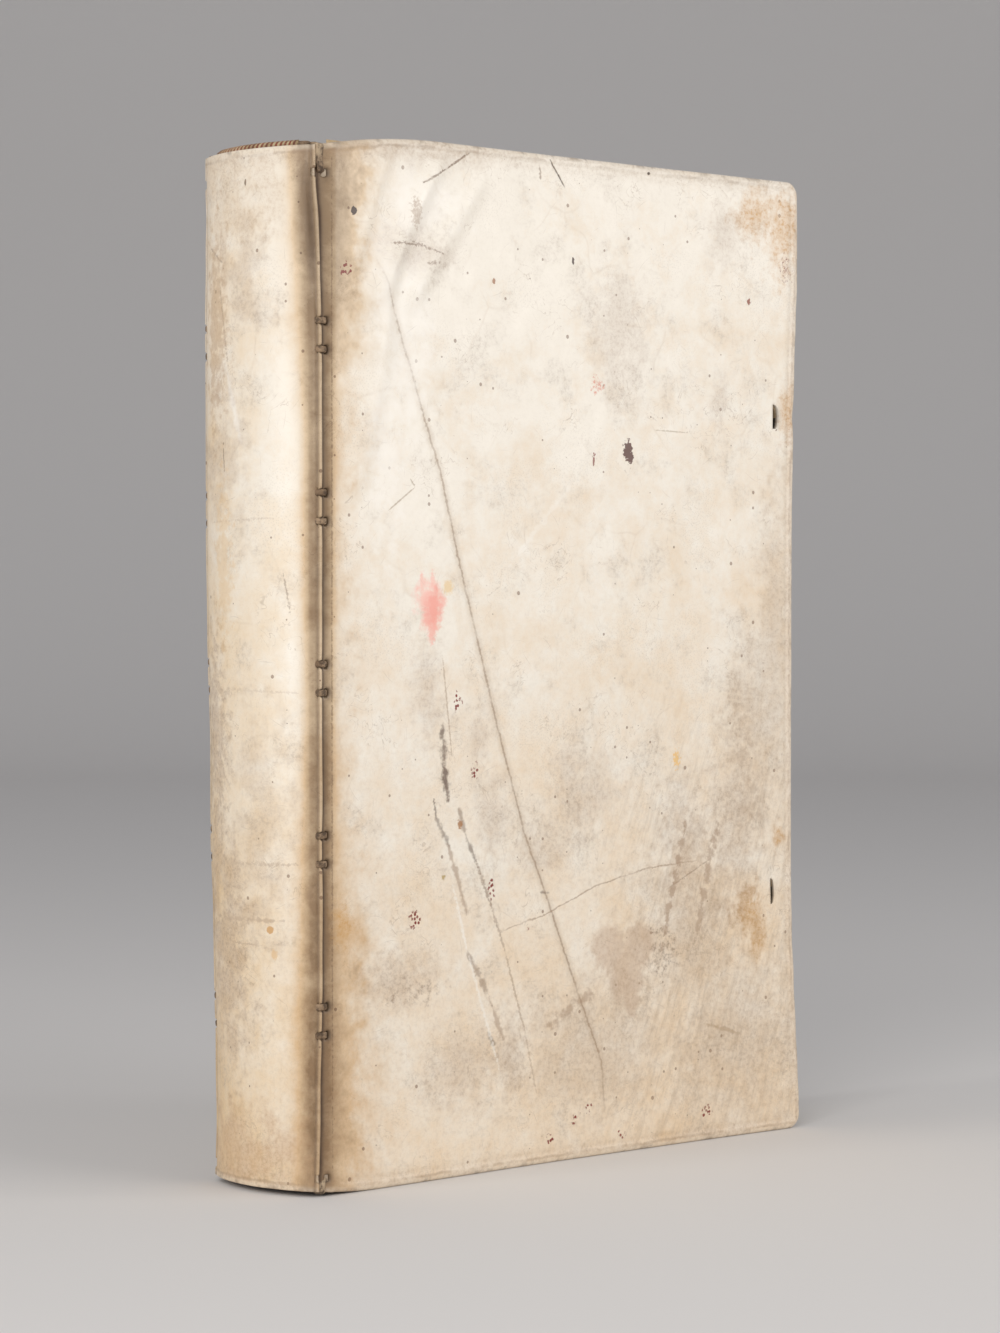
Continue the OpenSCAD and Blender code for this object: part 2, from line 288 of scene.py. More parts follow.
@dataclass
class Grid:
    """A bmesh grid whose vertices are known by column and row."""

    columns: Sequence[float]
    rows: Sequence[float]
    bm: Mesh = field(default_factory=bmesh.new)
    at: dict[tuple[int, int], bmesh.types.BMVert] = field(default_factory=dict)

    def __post_init__(self) -> None:
        """Makes the grid and notes each vertex's column and row."""
        nx, nz = len(self.columns) - 1, len(self.rows) - 1
        layers = self.bm.verts.layers
        self.laid = layers.float_vector.new("laid")
        # Per-vertex layers: the joint's darkening is grime with painted shade, and the holes and slits carry
        # painted shade.
        names = ("inset", "soil", "pit", "fleck")
        self.inset, self.soil, self.pit, self.fleck = (layers.float.new(name) for name in names)
        self.stains_and_painted_light = [layers.float.new(name) for name in STAIN_AND_PAINTED_LIGHT_LAYERS]
        self.rim = layers.int.new("rim")
        bmesh.ops.create_grid(self.bm, x_segments=nx, y_segments=nz, size=0.5)
        for v in self.bm.verts:
            self.at[round((v.co.x + 0.5) * nx), round((v.co.y + 0.5) * nz)] = v

    def shape(self, place: Callable[[float, float], Vector]) -> None:
        """Moves every vertex to its place.

        Args:
            place: Gives the place for a column's and a row's value.
        """
        for (i, j), v in self.at.items():
            v.co = place(self.columns[i], self.rows[j])

    def border(self) -> list[bmesh.types.BMEdge]:
        """The outline's edges, without the first column's."""
        nx, nz = len(self.columns) - 1, len(self.rows) - 1
        ring = {v for (i, j), v in self.at.items() if i in (0, nx) or j in (0, nz)}
        first = {v for (i, _), v in self.at.items() if i == 0}
        return [
            e for e in self.bm.edges if e.is_boundary and set(e.verts) <= ring and not set(e.verts) <= first
        ]


def extruded(bm: Mesh, edges: list, place: Callable[[Any], Vector]) -> list:
    """Extrudes a run of edges by one step.

    Args:
        bm: The mesh.
        edges: The edges to carry on from.
        place: Gives the new place of each new vertex.

    Returns:
        The new run of edges.
    """
    made = bmesh.ops.extrude_edge_only(bm, edges=edges)["geom"]
    for v in made:
        if isinstance(v, bmesh.types.BMVert):
            v.co = place(v)
    verts = {v for v in made if isinstance(v, bmesh.types.BMVert)}
    return [e for e in made if isinstance(e, bmesh.types.BMEdge) and set(e.verts) <= verts and e.is_boundary]


def swept(
    bm: Mesh, path: Sequence[Vector], across: Vector, half_w: float, half_t: float,
    sides: int = 12, curl: float = 0.0, twist: float = 0.0,
) -> None:
    """Sweeps a rounded strip along a path and closes both ends.

    Args:
        bm: The mesh that gets the strip.
        path: Places that the strip's middle follows.
        across: Direction of the strip's width.
        half_w: Half of its width.
        half_t: Half of its thickness.
        sides: Vertices round the strip.
        curl: How far its long edges curl up.
        twist: Turn of the strip from end to end, in radians.
    """
    corner = bm.verts.layers.int.get("corner") or bm.verts.layers.int.new("corner")
    ring = bmesh.ops.create_circle(bm, cap_ends=False, segments=sides, radius=1.0)["verts"]
    for k, v in enumerate(ring):
        v[corner] = k
    edges = list({e for v in ring for e in v.link_edges})
    start = edges

    def spot(step: int) -> Callable[[Any], Vector]:
        """Places the section at one step of the path."""
        ahead = path[min(step + 1, len(path) - 1)] - path[max(step - 1, 0)]
        out = ahead.cross(across).normalized()
        turn = Matrix.Rotation(twist * step / (len(path) - 1), 3, ahead)
        wide, out = turn @ across, turn @ out

        def put(v: Any) -> Vector:
            """Places one vertex of the section."""
            a = 2 * math.pi * v[corner] / sides
            c, s = math.cos(a), math.sin(a)
            w = math.copysign(abs(c) ** 0.6, c)
            t = math.copysign(abs(s) ** 0.8, s)
            wear = 1 + 0.10 * rough(path[step].z * 0.9, step * 0.6, v[corner])
            return path[step] + wide * (w * half_w * wear) + out * (t * half_t * wear + curl * w * w)

        return put

    first = spot(0)
    for v in ring:
        v.co = first(v)
    for step in range(1, len(path)):
        edges = extruded(bm, edges, spot(step))
    for loop in (start, edges):
        bmesh.ops.holes_fill(bm, edges=loop, sides=sides)


def rounded(corners: Sequence[Vector], cut: float, step: float) -> list[Vector]:
    """A path through corners, each of them rounded.

    Args:
        corners: The corners of the path.
        cut: How far from a corner its round starts.
        step: Distance between points on the straights.

    Returns:
        The points of the path.
    """
    path = [corners[0].copy()]
    for before, here, after in zip(corners, corners[1:], corners[2:]):
        a = here + (before - here).normalized() * min(cut, (before - here).length * 0.45)
        b = here + (after - here).normalized() * min(cut, (after - here).length * 0.45)
        for k in range(5):
            t = k / 4
            path.append(a.lerp(here, t).lerp(here.lerp(b, t), t))
    full = [path[0]]
    for p in (*path[1:], corners[-1]):
        start = full[-1]
        count = max(int((p - start).length / step), 1)
        full += [start.lerp(p, k / count) for k in range(1, count + 1)]
    return full


def fold_round(a: float) -> Pair:
    """A folded edge's section at an angle: how far it stands out, and how far over."""
    c, s = math.cos(a), math.sin(a)
    return abs(c) ** FOLD_POWER, math.copysign(abs(s) ** FOLD_POWER, s)


def thickened(bm: Mesh, thickness: float) -> None:
    """Gives a sheet its thickness behind its faces, with no corner shot far out.

    Args:
        bm: The sheet, in millimetres.
        thickness: Its thickness.
    """
    seat = bm.verts.layers.float_vector.new("seat")
    for v in bm.verts:
        v[seat] = v.co
    bmesh.ops.solidify(bm, geom=bm.faces[:], thickness=thickness)
    for v in bm.verts:
        way = v.co - v[seat]
        if way.length > 1.5 * thickness:
            v.co = v[seat] + way.normalized() * 1.5 * thickness
    bm.verts.layers.float_vector.remove(seat)


def facing(bm: Mesh, near: Vector, out: Vector) -> None:
    """Turns a sheet's faces to one side.

    Args:
        bm: The sheet.
        near: A place beside the face that is looked at.
        out: The way in which it shall face.
    """
    bmesh.ops.recalc_face_normals(bm, faces=bm.faces)
    face = min(bm.faces, key=lambda f: (f.calc_center_median() - near).length)
    if face.normal.dot(out) < 0:
        bmesh.ops.reverse_faces(bm, faces=bm.faces)


def settled(bm: Mesh, cover: Side | None = None) -> None:
    """Moves every vertex from the true book to where it lies now, in metres."""
    for v in bm.verts:
        v.co = SIZES.row(*SETTLING.moved(v.co, cover))


def slices(bm: Mesh, axis: int, low: float, high: float, count: int) -> None:
    """Cuts a mesh across one axis into even slices.

    Args:
        bm: The mesh.
        axis: 0 for X or 2 for Z.
        low: Where the first slice starts.
        high: Where the last slice ends.
        count: How many slices there are.
    """
    way = Vector((axis == 0, 0, axis == 2))
    for k in range(1, count):
        at = way * (low + (high - low) * k / count)
        bmesh.ops.bisect_plane(bm, geom=bm.verts[:] + bm.edges[:] + bm.faces[:], plane_co=at, plane_no=way)


def made_object(bm: Mesh, name: str, finish: Material, slot: str) -> Piece:
    """Turns a finished bmesh into a piece.

    Args:
        bm: The mesh, in metres and in its place.
        name: The piece's name.
        finish: Its material.
        slot: The record's slot for its finish; not used.

    Returns:
        The new object.
    """
    mesh = bpy.data.meshes.new(name)
    bm.to_mesh(mesh)
    bm.free()
    mesh.materials.append(finish)
    mesh.shade_smooth()
    piece = bpy.data.objects.new(name, mesh)
    bpy.context.scene.collection.objects.link(piece)
    LOG.info("%s: %d faces", name, len(mesh.polygons))
    return piece


def carried(bm: Mesh, name: str, finish: Material, slot: str, body: str, node: str) -> Piece:
    """Makes a piece that rides one body in the place of one solid.

    Args:
        bm: The mesh, in metres and in its place.
        name: The piece's name.
        finish: Its material.
        slot: The record's slot for its finish; not used.
        body: The body that it rides on.
        node: The solid that it replaces.

    Returns:
        The new object.
    """
    piece = made_object(bm, name, finish, slot)
    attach(piece, body)
    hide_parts(node)
    return piece


def colour(r: int, g: int, b: int) -> tuple[float, float, float, float]:
    """A screen colour of 0 to 255 as the linear colour that shaders take."""
    def line(c: float) -> float:
        """Straightens one channel."""
        c /= 255
        return c / 12.92 if c <= 0.04045 else ((c + 0.055) / 1.055) ** 2.4
    return (line(r), line(g), line(b), 1.0)


class Graph:
    """A node tree with short calls for the nodes that the finishes use."""

    def __init__(self, tree: bpy.types.NodeTree) -> None:
        """Takes the tree that the nodes go into."""
        self.tree = tree

    def put(self, kind: str, ins: dict[Any, Any] | None = None, **settings: Any) -> Node:
        """Adds one node.

        Args:
            kind: The node's type.
            ins: Values or sockets for its inputs, by name or number.
            settings: Properties of the node.

        Returns:
            The node.
        """
        node = self.tree.nodes.new(kind)
        for name, value in settings.items():
            setattr(node, name, value)
        self.feed(node, ins or {})
        return node

    def feed(self, node: Node, ins: dict[Any, Any]) -> None:
        """Links or sets a node's inputs, by name or number."""
        for name, value in ins.items():
            if isinstance(value, bpy.types.NodeSocket):
                self.tree.links.new(value, node.inputs[name])
            else:
                node.inputs[name].default_value = value

    def sum(self, operation: str, a: Any, b: Any = 0.0, c: Any = 0.0, clamp: bool = False) -> Any:
        """One Math node's result."""
        return self.put("ShaderNodeMath", {0: a, 1: b, 2: c}, operation=operation, use_clamp=clamp).outputs[0]

    def fma(self, a: Any, b: Any, c: Any, clamp: bool = False) -> Any:
        """The first times the second, plus the third."""
        return self.sum("MULTIPLY_ADD", a, b, c, clamp)

    def times(self, a: Any, b: Any, clamp: bool = False) -> Any:
        """One value times another."""
        return self.sum("MULTIPLY", a, b, clamp=clamp)

    def plus(self, a: Any, b: Any) -> Any:
        """One value and another."""
        return self.sum("ADD", a, b)

    def less(self, a: Any, b: Any) -> Any:
        """One value less another."""
        return self.sum("SUBTRACT", a, b)

    def most(self, a: Any, b: Any) -> Any:
        """The larger of two values."""
        return self.sum("MAXIMUM", a, b)

    def unsigned(self, a: Any) -> Any:
        """A value without its sign."""
        return self.sum("ABSOLUTE", a)

    def split(self, vector: Any) -> Sequence[Any]:
        """A vector's three parts."""
        return self.put("ShaderNodeSeparateXYZ", {0: vector}).outputs

    def stored(self, name: str, output: str = "Fac") -> Any:
        """What the mesh's own points carry under a name."""
        return self.put("ShaderNodeAttribute", attribute_name=name).outputs[output]

    def vector(
        self, operation: str, a: Any, b: Any = (0, 0, 0), c: Any = (0, 0, 0), scale: Any = 1.0,
    ) -> Node:
        """One Vector Math node."""
        return self.put("ShaderNodeVectorMath", {0: a, 1: b, 2: c, 3: scale}, operation=operation)

    def mix(self, share: Any, a: Any, b: Any, blend: str = "MIX") -> Any:
        """One colour mix's result."""
        node = self.put("ShaderNodeMix", {0: share, 6: a, 7: b}, data_type="RGBA", blend_type=blend)
        return node.outputs[2]

    def paint(self, base: Any, mask: Any, strength: float, tint: Sequence[int]) -> Any:
        """A colour with a tint laid over it where a mask says."""
        return self.mix(self.times(mask, strength), base, colour(*tint))

    def coat(self, shader: Node, base: Any, height: Any, strength: float, distance: float) -> None:
        """Gives a shader its colour and its bump."""
        raised = self.put("ShaderNodeBump", {"Strength": strength, "Distance": distance, "Height": height})
        self.feed(shader, {"Base Color": base, "Normal": raised.outputs[0]})

    def closed(self, out: Node, **masks: Any) -> bpy.types.NodeTree:
        """Links a group's named outputs and gives its tree."""
        self.feed(out, masks)
        return self.tree

    def fade(self, value: Any, reach: Any) -> Any:
        """A straight fall from 1 at nothing to 0 at a reach."""
        return self.put("ShaderNodeMapRange", {0: value, 1: 0.0, 2: reach, 3: 1.0, 4: 0.0}).outputs[0]

    def step(self, value: Any, low: Any, high: Any, to_low: float = 0.0, to_high: float = 1.0) -> Any:
        """A smooth step of a value from one range to another."""
        return self.put(
            "ShaderNodeMapRange", {0: value, 1: low, 2: high, 3: to_low, 4: to_high},
            interpolation_type="SMOOTHSTEP",
        ).outputs[0]

    def cloud(
        self, place: Any, scale: float, detail: float = 3.0, rough_by: float = 0.55, bend: float = 0.0,
    ) -> Any:
        """A noise texture's value."""
        ins = {"Vector": place, "Scale": scale, "Detail": detail, "Roughness": rough_by, "Distortion": bend}
        return self.put("ShaderNodeTexNoise", ins).outputs[0]

    def cells(self, place: Any, scale: Any, feature: str = "F1", space: str = "2D") -> Sequence[Any]:
        """A cell texture's outputs."""
        ins = {"Vector": place, "Scale": scale}
        return self.put("ShaderNodeTexVoronoi", ins, feature=feature, voronoi_dimensions=space).outputs

    def turned(
        self, place: Any, scale: Sequence[float] = (1, 1, 1), turn: Sequence[float] = (0, 0, 0),
    ) -> Any:
        """A place with its axes turned and scaled."""
        return self.put("ShaderNodeMapping", {"Vector": place, "Rotation": turn, "Scale": scale}).outputs[0]

    def line(self, value: Any, points: Sequence[Pair], steep: bool = False) -> Any:
        """A drawn curve of a value between 0 and 1.

        Args:
            value: What the curve reads.
            points: The curve's points.
            steep: Whether its points are joined by straight lines.

        Returns:
            The curve's socket.
        """
        node = self.put("ShaderNodeFloatCurve", {1: value})
        curve = node.mapping.curves[0]
        for p in points[1:-1]:
            curve.points.new(*p)
        ordered = sorted(points)
        for spot, p in zip(curve.points, ordered):
            spot.location = p
            spot.handle_type = "VECTOR" if steep else "AUTO_CLAMPED"
        node.mapping.update()
        return node.outputs[0]

    def use(self, group: bpy.types.NodeTree, **ins: Any) -> Any:
        """Places a group.

        Args:
            group: The shared group.
            ins: Its inputs.

        Returns:
            The group's node.
        """
        node = self.tree.nodes.new("ShaderNodeGroup")
        node.node_tree = group
        self.feed(node, ins)
        return node


def fresh(name: str, roughness: float = 0.5) -> tuple[Material, Graph, Node]:
    """A new material with its graph and its shader."""
    material = bpy.data.materials.new(name)
    material.use_nodes = True
    shader = material.node_tree.nodes["Principled BSDF"]
    shader.inputs["Roughness"].default_value = roughness
    return material, Graph(material.node_tree), shader


class Effects:
    """The shader groups that the finishes share, each made once."""

    def __init__(self) -> None:
        """Builds every group."""
        self.blot = self._blot()
        self.stroke = self._stroke()
        self.hairlines = self._hairlines()
        self.grain = self._grain()
        self.clouding = self._clouding()
        self.fibres = self._fibres()

    @staticmethod
    def _group(name: str, outs: Sequence[str], **ins: Any) -> tuple[Graph, dict[str, Any], Any]:
        """Starts a group with named sockets, the first of them a place.

        Args:
            name: The group's name.
            outs: Names of its outputs, all of them plain values.
            ins: Each other input's default, three numbers for a vector.

        Returns:
            Its graph, its inputs by name and its output node.
        """
        tree = bpy.data.node_groups.new(name, "ShaderNodeTree")
        for key, default in {"Place": (0, 0, 0), **ins}.items():
            kind = "NodeSocketFloat" if isinstance(default, float) else "NodeSocketVector"
            tree.interface.new_socket(key, in_out="INPUT", socket_type=kind).default_value = default
        for key in outs:
            tree.interface.new_socket(key, in_out="OUTPUT", socket_type="NodeSocketFloat")
        start = tree.nodes.new("NodeGroupInput")
        return Graph(tree), dict(start.outputs.items()), tree.nodes.new("NodeGroupOutput")

    def _blot(self) -> bpy.types.NodeTree:
        """A soft or ragged spot in the plane of the skin."""
        g, i, o = self._group(
            "Blot", ["Mask"], Centre=(0, 0, 0), Size=(1, 1, 1), Edge=0.0, Ragged=0.5, Soft=0.3,
        )
        away = g.vector("SUBTRACT", i["Place"], i["Centre"]).outputs[0]
        part = g.vector("DIVIDE", away, i["Size"]).outputs[0]
        far = g.vector("LENGTH", part).outputs[1]
        far = g.fma(i["Edge"], i["Ragged"], far)
        return g.closed(o, Mask=g.step(far, g.less(1.0, i["Soft"]), g.plus(1.0, i["Soft"]), 1.0, 0.0))

    def _stroke(self) -> bpy.types.NodeTree:
        """A scratch, wrinkle or smear between two places."""
        g, i, o = self._group(
            "Stroke", ["Mask"], From=(0, 0, 0), Reach=(1, 0, 0), Over=1.0, Width=0.05, Edge=0.0, Ragged=0.5,
        )
        away = g.vector("SUBTRACT", i["Place"], i["From"]).outputs[0]
        t = g.times(g.vector("DOT_PRODUCT", away, i["Reach"]).outputs[1], i["Over"], clamp=True)
        foot = g.vector("SCALE", i["Reach"], scale=t).outputs[0]
        gap = g.vector("LENGTH", g.vector("SUBTRACT", away, foot).outputs[0]).outputs[1]
        far = g.sum("DIVIDE", gap, i["Width"])
        far = g.fma(i["Edge"], i["Ragged"], far)
        taper = g.fma(t, 2.0, -1.0)
        taper = g.times(taper, taper)
        far = g.fma(g.times(taper, taper), 0.6, far)
        return g.closed(o, Mask=g.step(far, 0.05, 1.2, 1.0, 0.0))

    def _hairlines(self) -> bpy.types.NodeTree:
        """Short fine scratches that lie every way."""
        g, i, o = self._group("Hairlines", ["Mask"], Scale=1.0, Width=0.01, Length=0.4, Share=0.3)
        cell = g.cells(i["Place"], i["Scale"])
        local = g.split(g.vector("SUBTRACT", i["Place"], cell["Position"]).outputs[0])
        luck = g.split(cell["Color"])
        angle = g.times(luck[0], 2 * math.pi)
        c, s = g.sum("COSINE", angle), g.sum("SINE", angle)
        ahead = g.fma(local[0], c, g.times(local[1], s))
        aside = g.less(g.times(local[0], s), g.times(local[1], c))
        bow = g.times(g.times(ahead, ahead), g.less(luck[1], 0.5))
        fine = g.fade(g.unsigned(g.plus(aside, bow)), i["Width"])
        long = g.fade(g.unsigned(ahead), i["Length"])
        there = g.sum("LESS_THAN", luck[2], i["Share"])
        return g.closed(o, Mask=g.times(g.times(fine, long), there))

    def _grain(self) -> bpy.types.NodeTree:
        """The hair side's pores, fine veins and slight cockle."""
        g, i, o = self._group("Grain", ["Height", "Pores", "Veins"])
        p = i["Place"]
        pore = g.step(g.cells(p, 8.0)[0], 0.05, 0.30, 1.0, 0.0)
        pores = g.times(pore, g.step(g.cloud(p, 0.28, 1.0), 0.50, 0.66))
        bend = g.put("ShaderNodeTexNoise", {"Vector": p, "Scale": 0.7, "Detail": 0.0}).outputs[1]
        wide = g.vector("ADD", p, g.vector("SCALE", bend, scale=1.3).outputs[0]).outputs[0]
        cell = g.cells(wide, 0.33, "DISTANCE_TO_EDGE")
        veins = g.times(g.step(cell[0], 0.0, 0.035, 1.0, 0.0), g.step(g.cloud(p, 0.4, 1.0), 0.45, 0.7))
        height = g.fma(g.cloud(p, 11.0, 2.0, 0.68), 0.12, g.cloud(p, 1.3, 1.0, 0.5))
        return g.closed(o, Height=height, Pores=pores, Veins=veins)

    def _clouding(self) -> bpy.types.NodeTree:
        """Cloudy tone, granular grime, specks, wrinkles and rubbed streaks of old skin."""
        g, i, o = self._group("Clouding", ["Tone", "Grime", "Soil", "Speck", "Wrinkle", "Streak"])
        p = i["Place"]
        tone = g.fma(g.cloud(p, 0.30, 3.0, 0.6, 0.5), 0.62, g.times(g.cloud(p, 1.5, 4.0, 0.72), 0.38))
        grime = g.step(g.cloud(p, 5.0, 3.0, 0.8), 0.42, 0.68)
        soil = g.step(g.cloud(p, 0.42, 4.0, 0.68), 0.50, 0.70)
        cell = g.cells(p, 1.5)
        size = g.times(g.sum("POWER", g.split(cell[1])[0], 16.0), 0.12)
        speck = g.sum("LESS_THAN", cell[0], size)
        ridge = g.unsigned(g.less(g.cloud(p, 0.95, 3.0, 0.55, 1.2), 0.5))
        wrinkle = g.times(g.step(ridge, 0.0, 0.010, 1.0, 0.0), g.step(g.cloud(p, 0.33, 1.0), 0.52, 0.62))
        q = g.put(
            "ShaderNodeMapping", {"Vector": p, "Rotation": (0, 0, -0.38), "Scale": (0.34, 2.2, 1)},
            vector_type="TEXTURE",
        ).outputs[0]
        streak = g.step(g.cloud(q, 1.0, 3.0, 0.75), 0.44, 0.70)
        return g.closed(o, Tone=tone, Grime=grime, Soil=soil, Speck=speck, Wrinkle=wrinkle, Streak=streak)

    def _fibres(self) -> bpy.types.NodeTree:
        """Paper or board: flecks, fibres and foxing."""
        g, i, o = self._group("Fibres", ["Tone", "Fibre", "Foxing"], Scale=1.0)
        p = g.vector("SCALE", i["Place"], scale=i["Scale"]).outputs[0]
        tone = g.cloud(p, 30.0, 5.0, 0.6)
        fibre = g.cloud(g.turned(p, (1, 1, 3)), 700.0, 4.0, 0.7, 1.5)
        fox = g.step(g.cells(p, 55.0, space="3D")[0], 0.02, 0.16, 1.0, 0.0)
        fox = g.times(fox, g.step(g.cloud(p, 22.0, 2.0), 0.52, 0.64))
        return g.closed(o, Tone=tone, Fibre=fibre, Foxing=fox)


@dataclass(frozen=True)
class Mark:
    """One stained spot on the skin, placed in centimetres along and up it."""

    at: Pair
    size: Pair
    tint: Tint
    strength: float = 0.8
    ragged: float = 0.8
    edge: float = 0.25
    grain: float = 0.0


@dataclass(frozen=True)
class Stain:
    """Broad spots of one tint, as (along, up, half width, half height) in centimetres; most are stained
    patches, some painted sheen and painted shade.

    The skin's own vertices carry how far each place is from the nearest spot.
    """

    spots: tuple[tuple[float, float, float, float], ...]
    tint: Tint
    strength: float = 0.5
    ragged: float = 1.4
    edge: float = 0.6
    grain: float = 0.8

    def far(self, p: Vector) -> float:
        """How far a place is from the nearest spot, 1 at its edge."""
        return min([3.0] + [math.hypot((p.x - x) / a, (p.y - z) / b) for x, z, a, b in self.spots])


@dataclass(frozen=True)
class Scrape:
    """One scratch, wrinkle or smear on the skin, in centimetres."""

    start: Pair
    end: Pair
    width: float
    tint: Tint
    strength: float = 0.6
    ragged: float = 0.8
    depth: float = 0.0


@dataclass(frozen=True)
class Crease:
    """One long crease, as places in centimetres along and up the skin."""

    places: tuple[Pair, ...]
    width: float
    tint: Tint
    strength: float
    flank: float = 0.0


@dataclass(frozen=True)
class ParchmentFinish:
    """Aged, rubbed and dirty parchment, with painted shade by the joint and painted sheen on the front."""

    name: str
    marks: tuple[Mark, ...] = ()
    scrapes: tuple[Scrape, ...] = ()
    creases: tuple[Crease, ...] = ()
    stains_and_painted_light: tuple[Stain, ...] = ()
    cream: Tint = (243, 235, 221)
    beige: Tint = (231, 203, 166)
    rubbed_from: float = 12.0
    # Tone beside the joint, by distance from the ridge in centimetres: partly aged skin, partly painted shade
    # of the joint's valley.
    mid_tone_and_shade: tuple[Pair, ...] = (
        (-2.0, 0.0), (-1.25, 0.02), (-1.0, 0.08), (-0.75, 0.34), (-0.5, 0.68), (-0.25, 0.90), (0.0, 0.55),
        (0.13, 1.0), (0.42, 0.84), (0.62, 0.50), (0.85, 0.30), (1.2, 0.14), (1.8, 0.04), (4.0, 0.0),
    )
    end_tone_and_shade: tuple[Pair, ...] = (
        (-2.0, 0.06), (-1.5, 0.16), (-1.15, 0.40), (-0.8, 0.76), (-0.5, 0.96), (-0.25, 1.0), (0.0, 0.65),
        (0.13, 1.0), (0.5, 0.94), (0.9, 0.82), (1.4, 0.68), (1.9, 0.46), (2.4, 0.25), (3.1, 0.10), (4.0, 0.0),
    )
    side_warm: float = 0.0

    def made(self, fx: Effects) -> Material:
        """Builds the material.

        Args:
            fx: The shared groups.

        Returns:
            The material.
        """
        material, g, shader = fresh(self.name)
        laid = g.stored("laid", "Vector")
        x, z, _ = g.split(laid)
        cloud = g.use(fx.clouding, Place=laid)
        grain = g.use(fx.grain, Place=laid)
        tone, grime = cloud.outputs["Tone"], cloud.outputs["Grime"]
        edges = {
            "fine": g.less(g.cloud(laid, 8.0, 2.0, 0.6), 0.5),
            "mid": g.less(g.cloud(laid, 2.4, 3.0, 0.62), 0.5),
            "wide": g.less(g.cloud(laid, 0.8, 3.0, 0.62), 0.5),
        }
        base = self.ground(g, x, z, cloud, grain)
        base = self.joint_tone_and_shade(g, base, x, z, tone, edges["wide"])

        relief = g.times(grain.outputs["Height"], 0.5)
        for crease in self.creases:
            line, flank = self.crease_line(g, crease, x, z, edges)
            if crease.flank:
                base = g.paint(base, flank, crease.flank, (186, 164, 138))
            base = g.paint(base, line, crease.strength, crease.tint)
        paints: dict[Tint, Any] = {}
        place = laid

        def paint(tint: Tint, mask: Any, strength: float, turn: int) -> Any:
            """Adds a mask to its tint's. Each tenth waits for the last, so that few run at once."""
            mask = g.times(mask, strength)
            paints[tint] = g.most(paints[tint], mask) if tint in paints else mask
            waits = turn % 10 == 9
            return g.vector("MULTIPLY_ADD", mask, (1e-6, 1e-6, 0), place).outputs[0] if waits else place

        # Broad tint spots read from the mesh: stained patches, and on the front cover also painted sheen and
        # painted shade.
        for layer, tint_spots in zip(STAIN_AND_PAINTED_LIGHT_LAYERS, self.stains_and_painted_light):
            far = g.fma(edges["mid"], tint_spots.ragged * 1.6, g.stored(layer))
            far = g.fma(edges["wide"], tint_spots.ragged * 1.6, far)
            mask = g.step(far, 1 + tint_spots.edge, 1 - tint_spots.edge)
            mask = g.times(mask, g.fma(grime, tint_spots.grain, 1 - tint_spots.grain))
            base = g.paint(base, mask, tint_spots.strength, tint_spots.tint)
        for turn, scrape in enumerate(self.scrapes):
            reach = Vector((scrape.end[0] - scrape.start[0], scrape.end[1] - scrape.start[1], 0))
            mask = g.use(
                fx.stroke, Place=place, From=(*scrape.start, 0), Reach=reach, Over=1 / reach.length_squared,
                Width=scrape.width, Edge=edges["fine" if scrape.width < 0.1 else "mid"],
                Ragged=scrape.ragged * 3,
            ).outputs["Mask"]
            place = paint(scrape.tint, mask, scrape.strength, turn)
            if scrape.depth:
                relief = g.fma(mask, scrape.depth, relief)
        for turn, mark in enumerate(self.marks):
            least = min(mark.size)
            mask = g.use(
                fx.blot, Place=place, Centre=(*mark.at, 0), Size=(*mark.size, 1), Soft=mark.edge,
                Ragged=mark.ragged * 3,
                Edge=edges["fine" if least < 0.25 else "mid" if least < 1.0 else "wide"],
            ).outputs["Mask"]
            if mark.grain:
                mask = g.times(mask, g.fma(grime, mark.grain, 1 - mark.grain))
            place = paint(mark.tint, mask, mark.strength, turn)
        for tint, mask in paints.items():
            base = g.mix(mask, base, colour(*tint))

        base, grime_and_groove_shade = self.wear(g, base, laid, cloud)
        long, short = (
            g.use(
                fx.hairlines, Place=laid, Scale=scale, Width=width, Length=length, Share=0.42,
            ).outputs["Mask"]
            for scale, width, length in ((0.9, 0.012, 0.55), (1.9, 0.009, 0.26))
        )
        hair = g.times(g.most(long, short), g.step(edges["wide"], -0.12, 0.16))
        base = g.paint(base, hair, 0.50, (140, 116, 92))
        gloss = g.fma(tone, 0.55, 0.10)
        gloss = g.fma(grime_and_groove_shade, 0.25, gloss)
        gloss = g.sum("MINIMUM", g.most(gloss, 0.27), 0.8)
        g.feed(shader, {"Roughness": gloss})
        g.coat(shader, base, relief, 0.42, 0.0006)
        return material

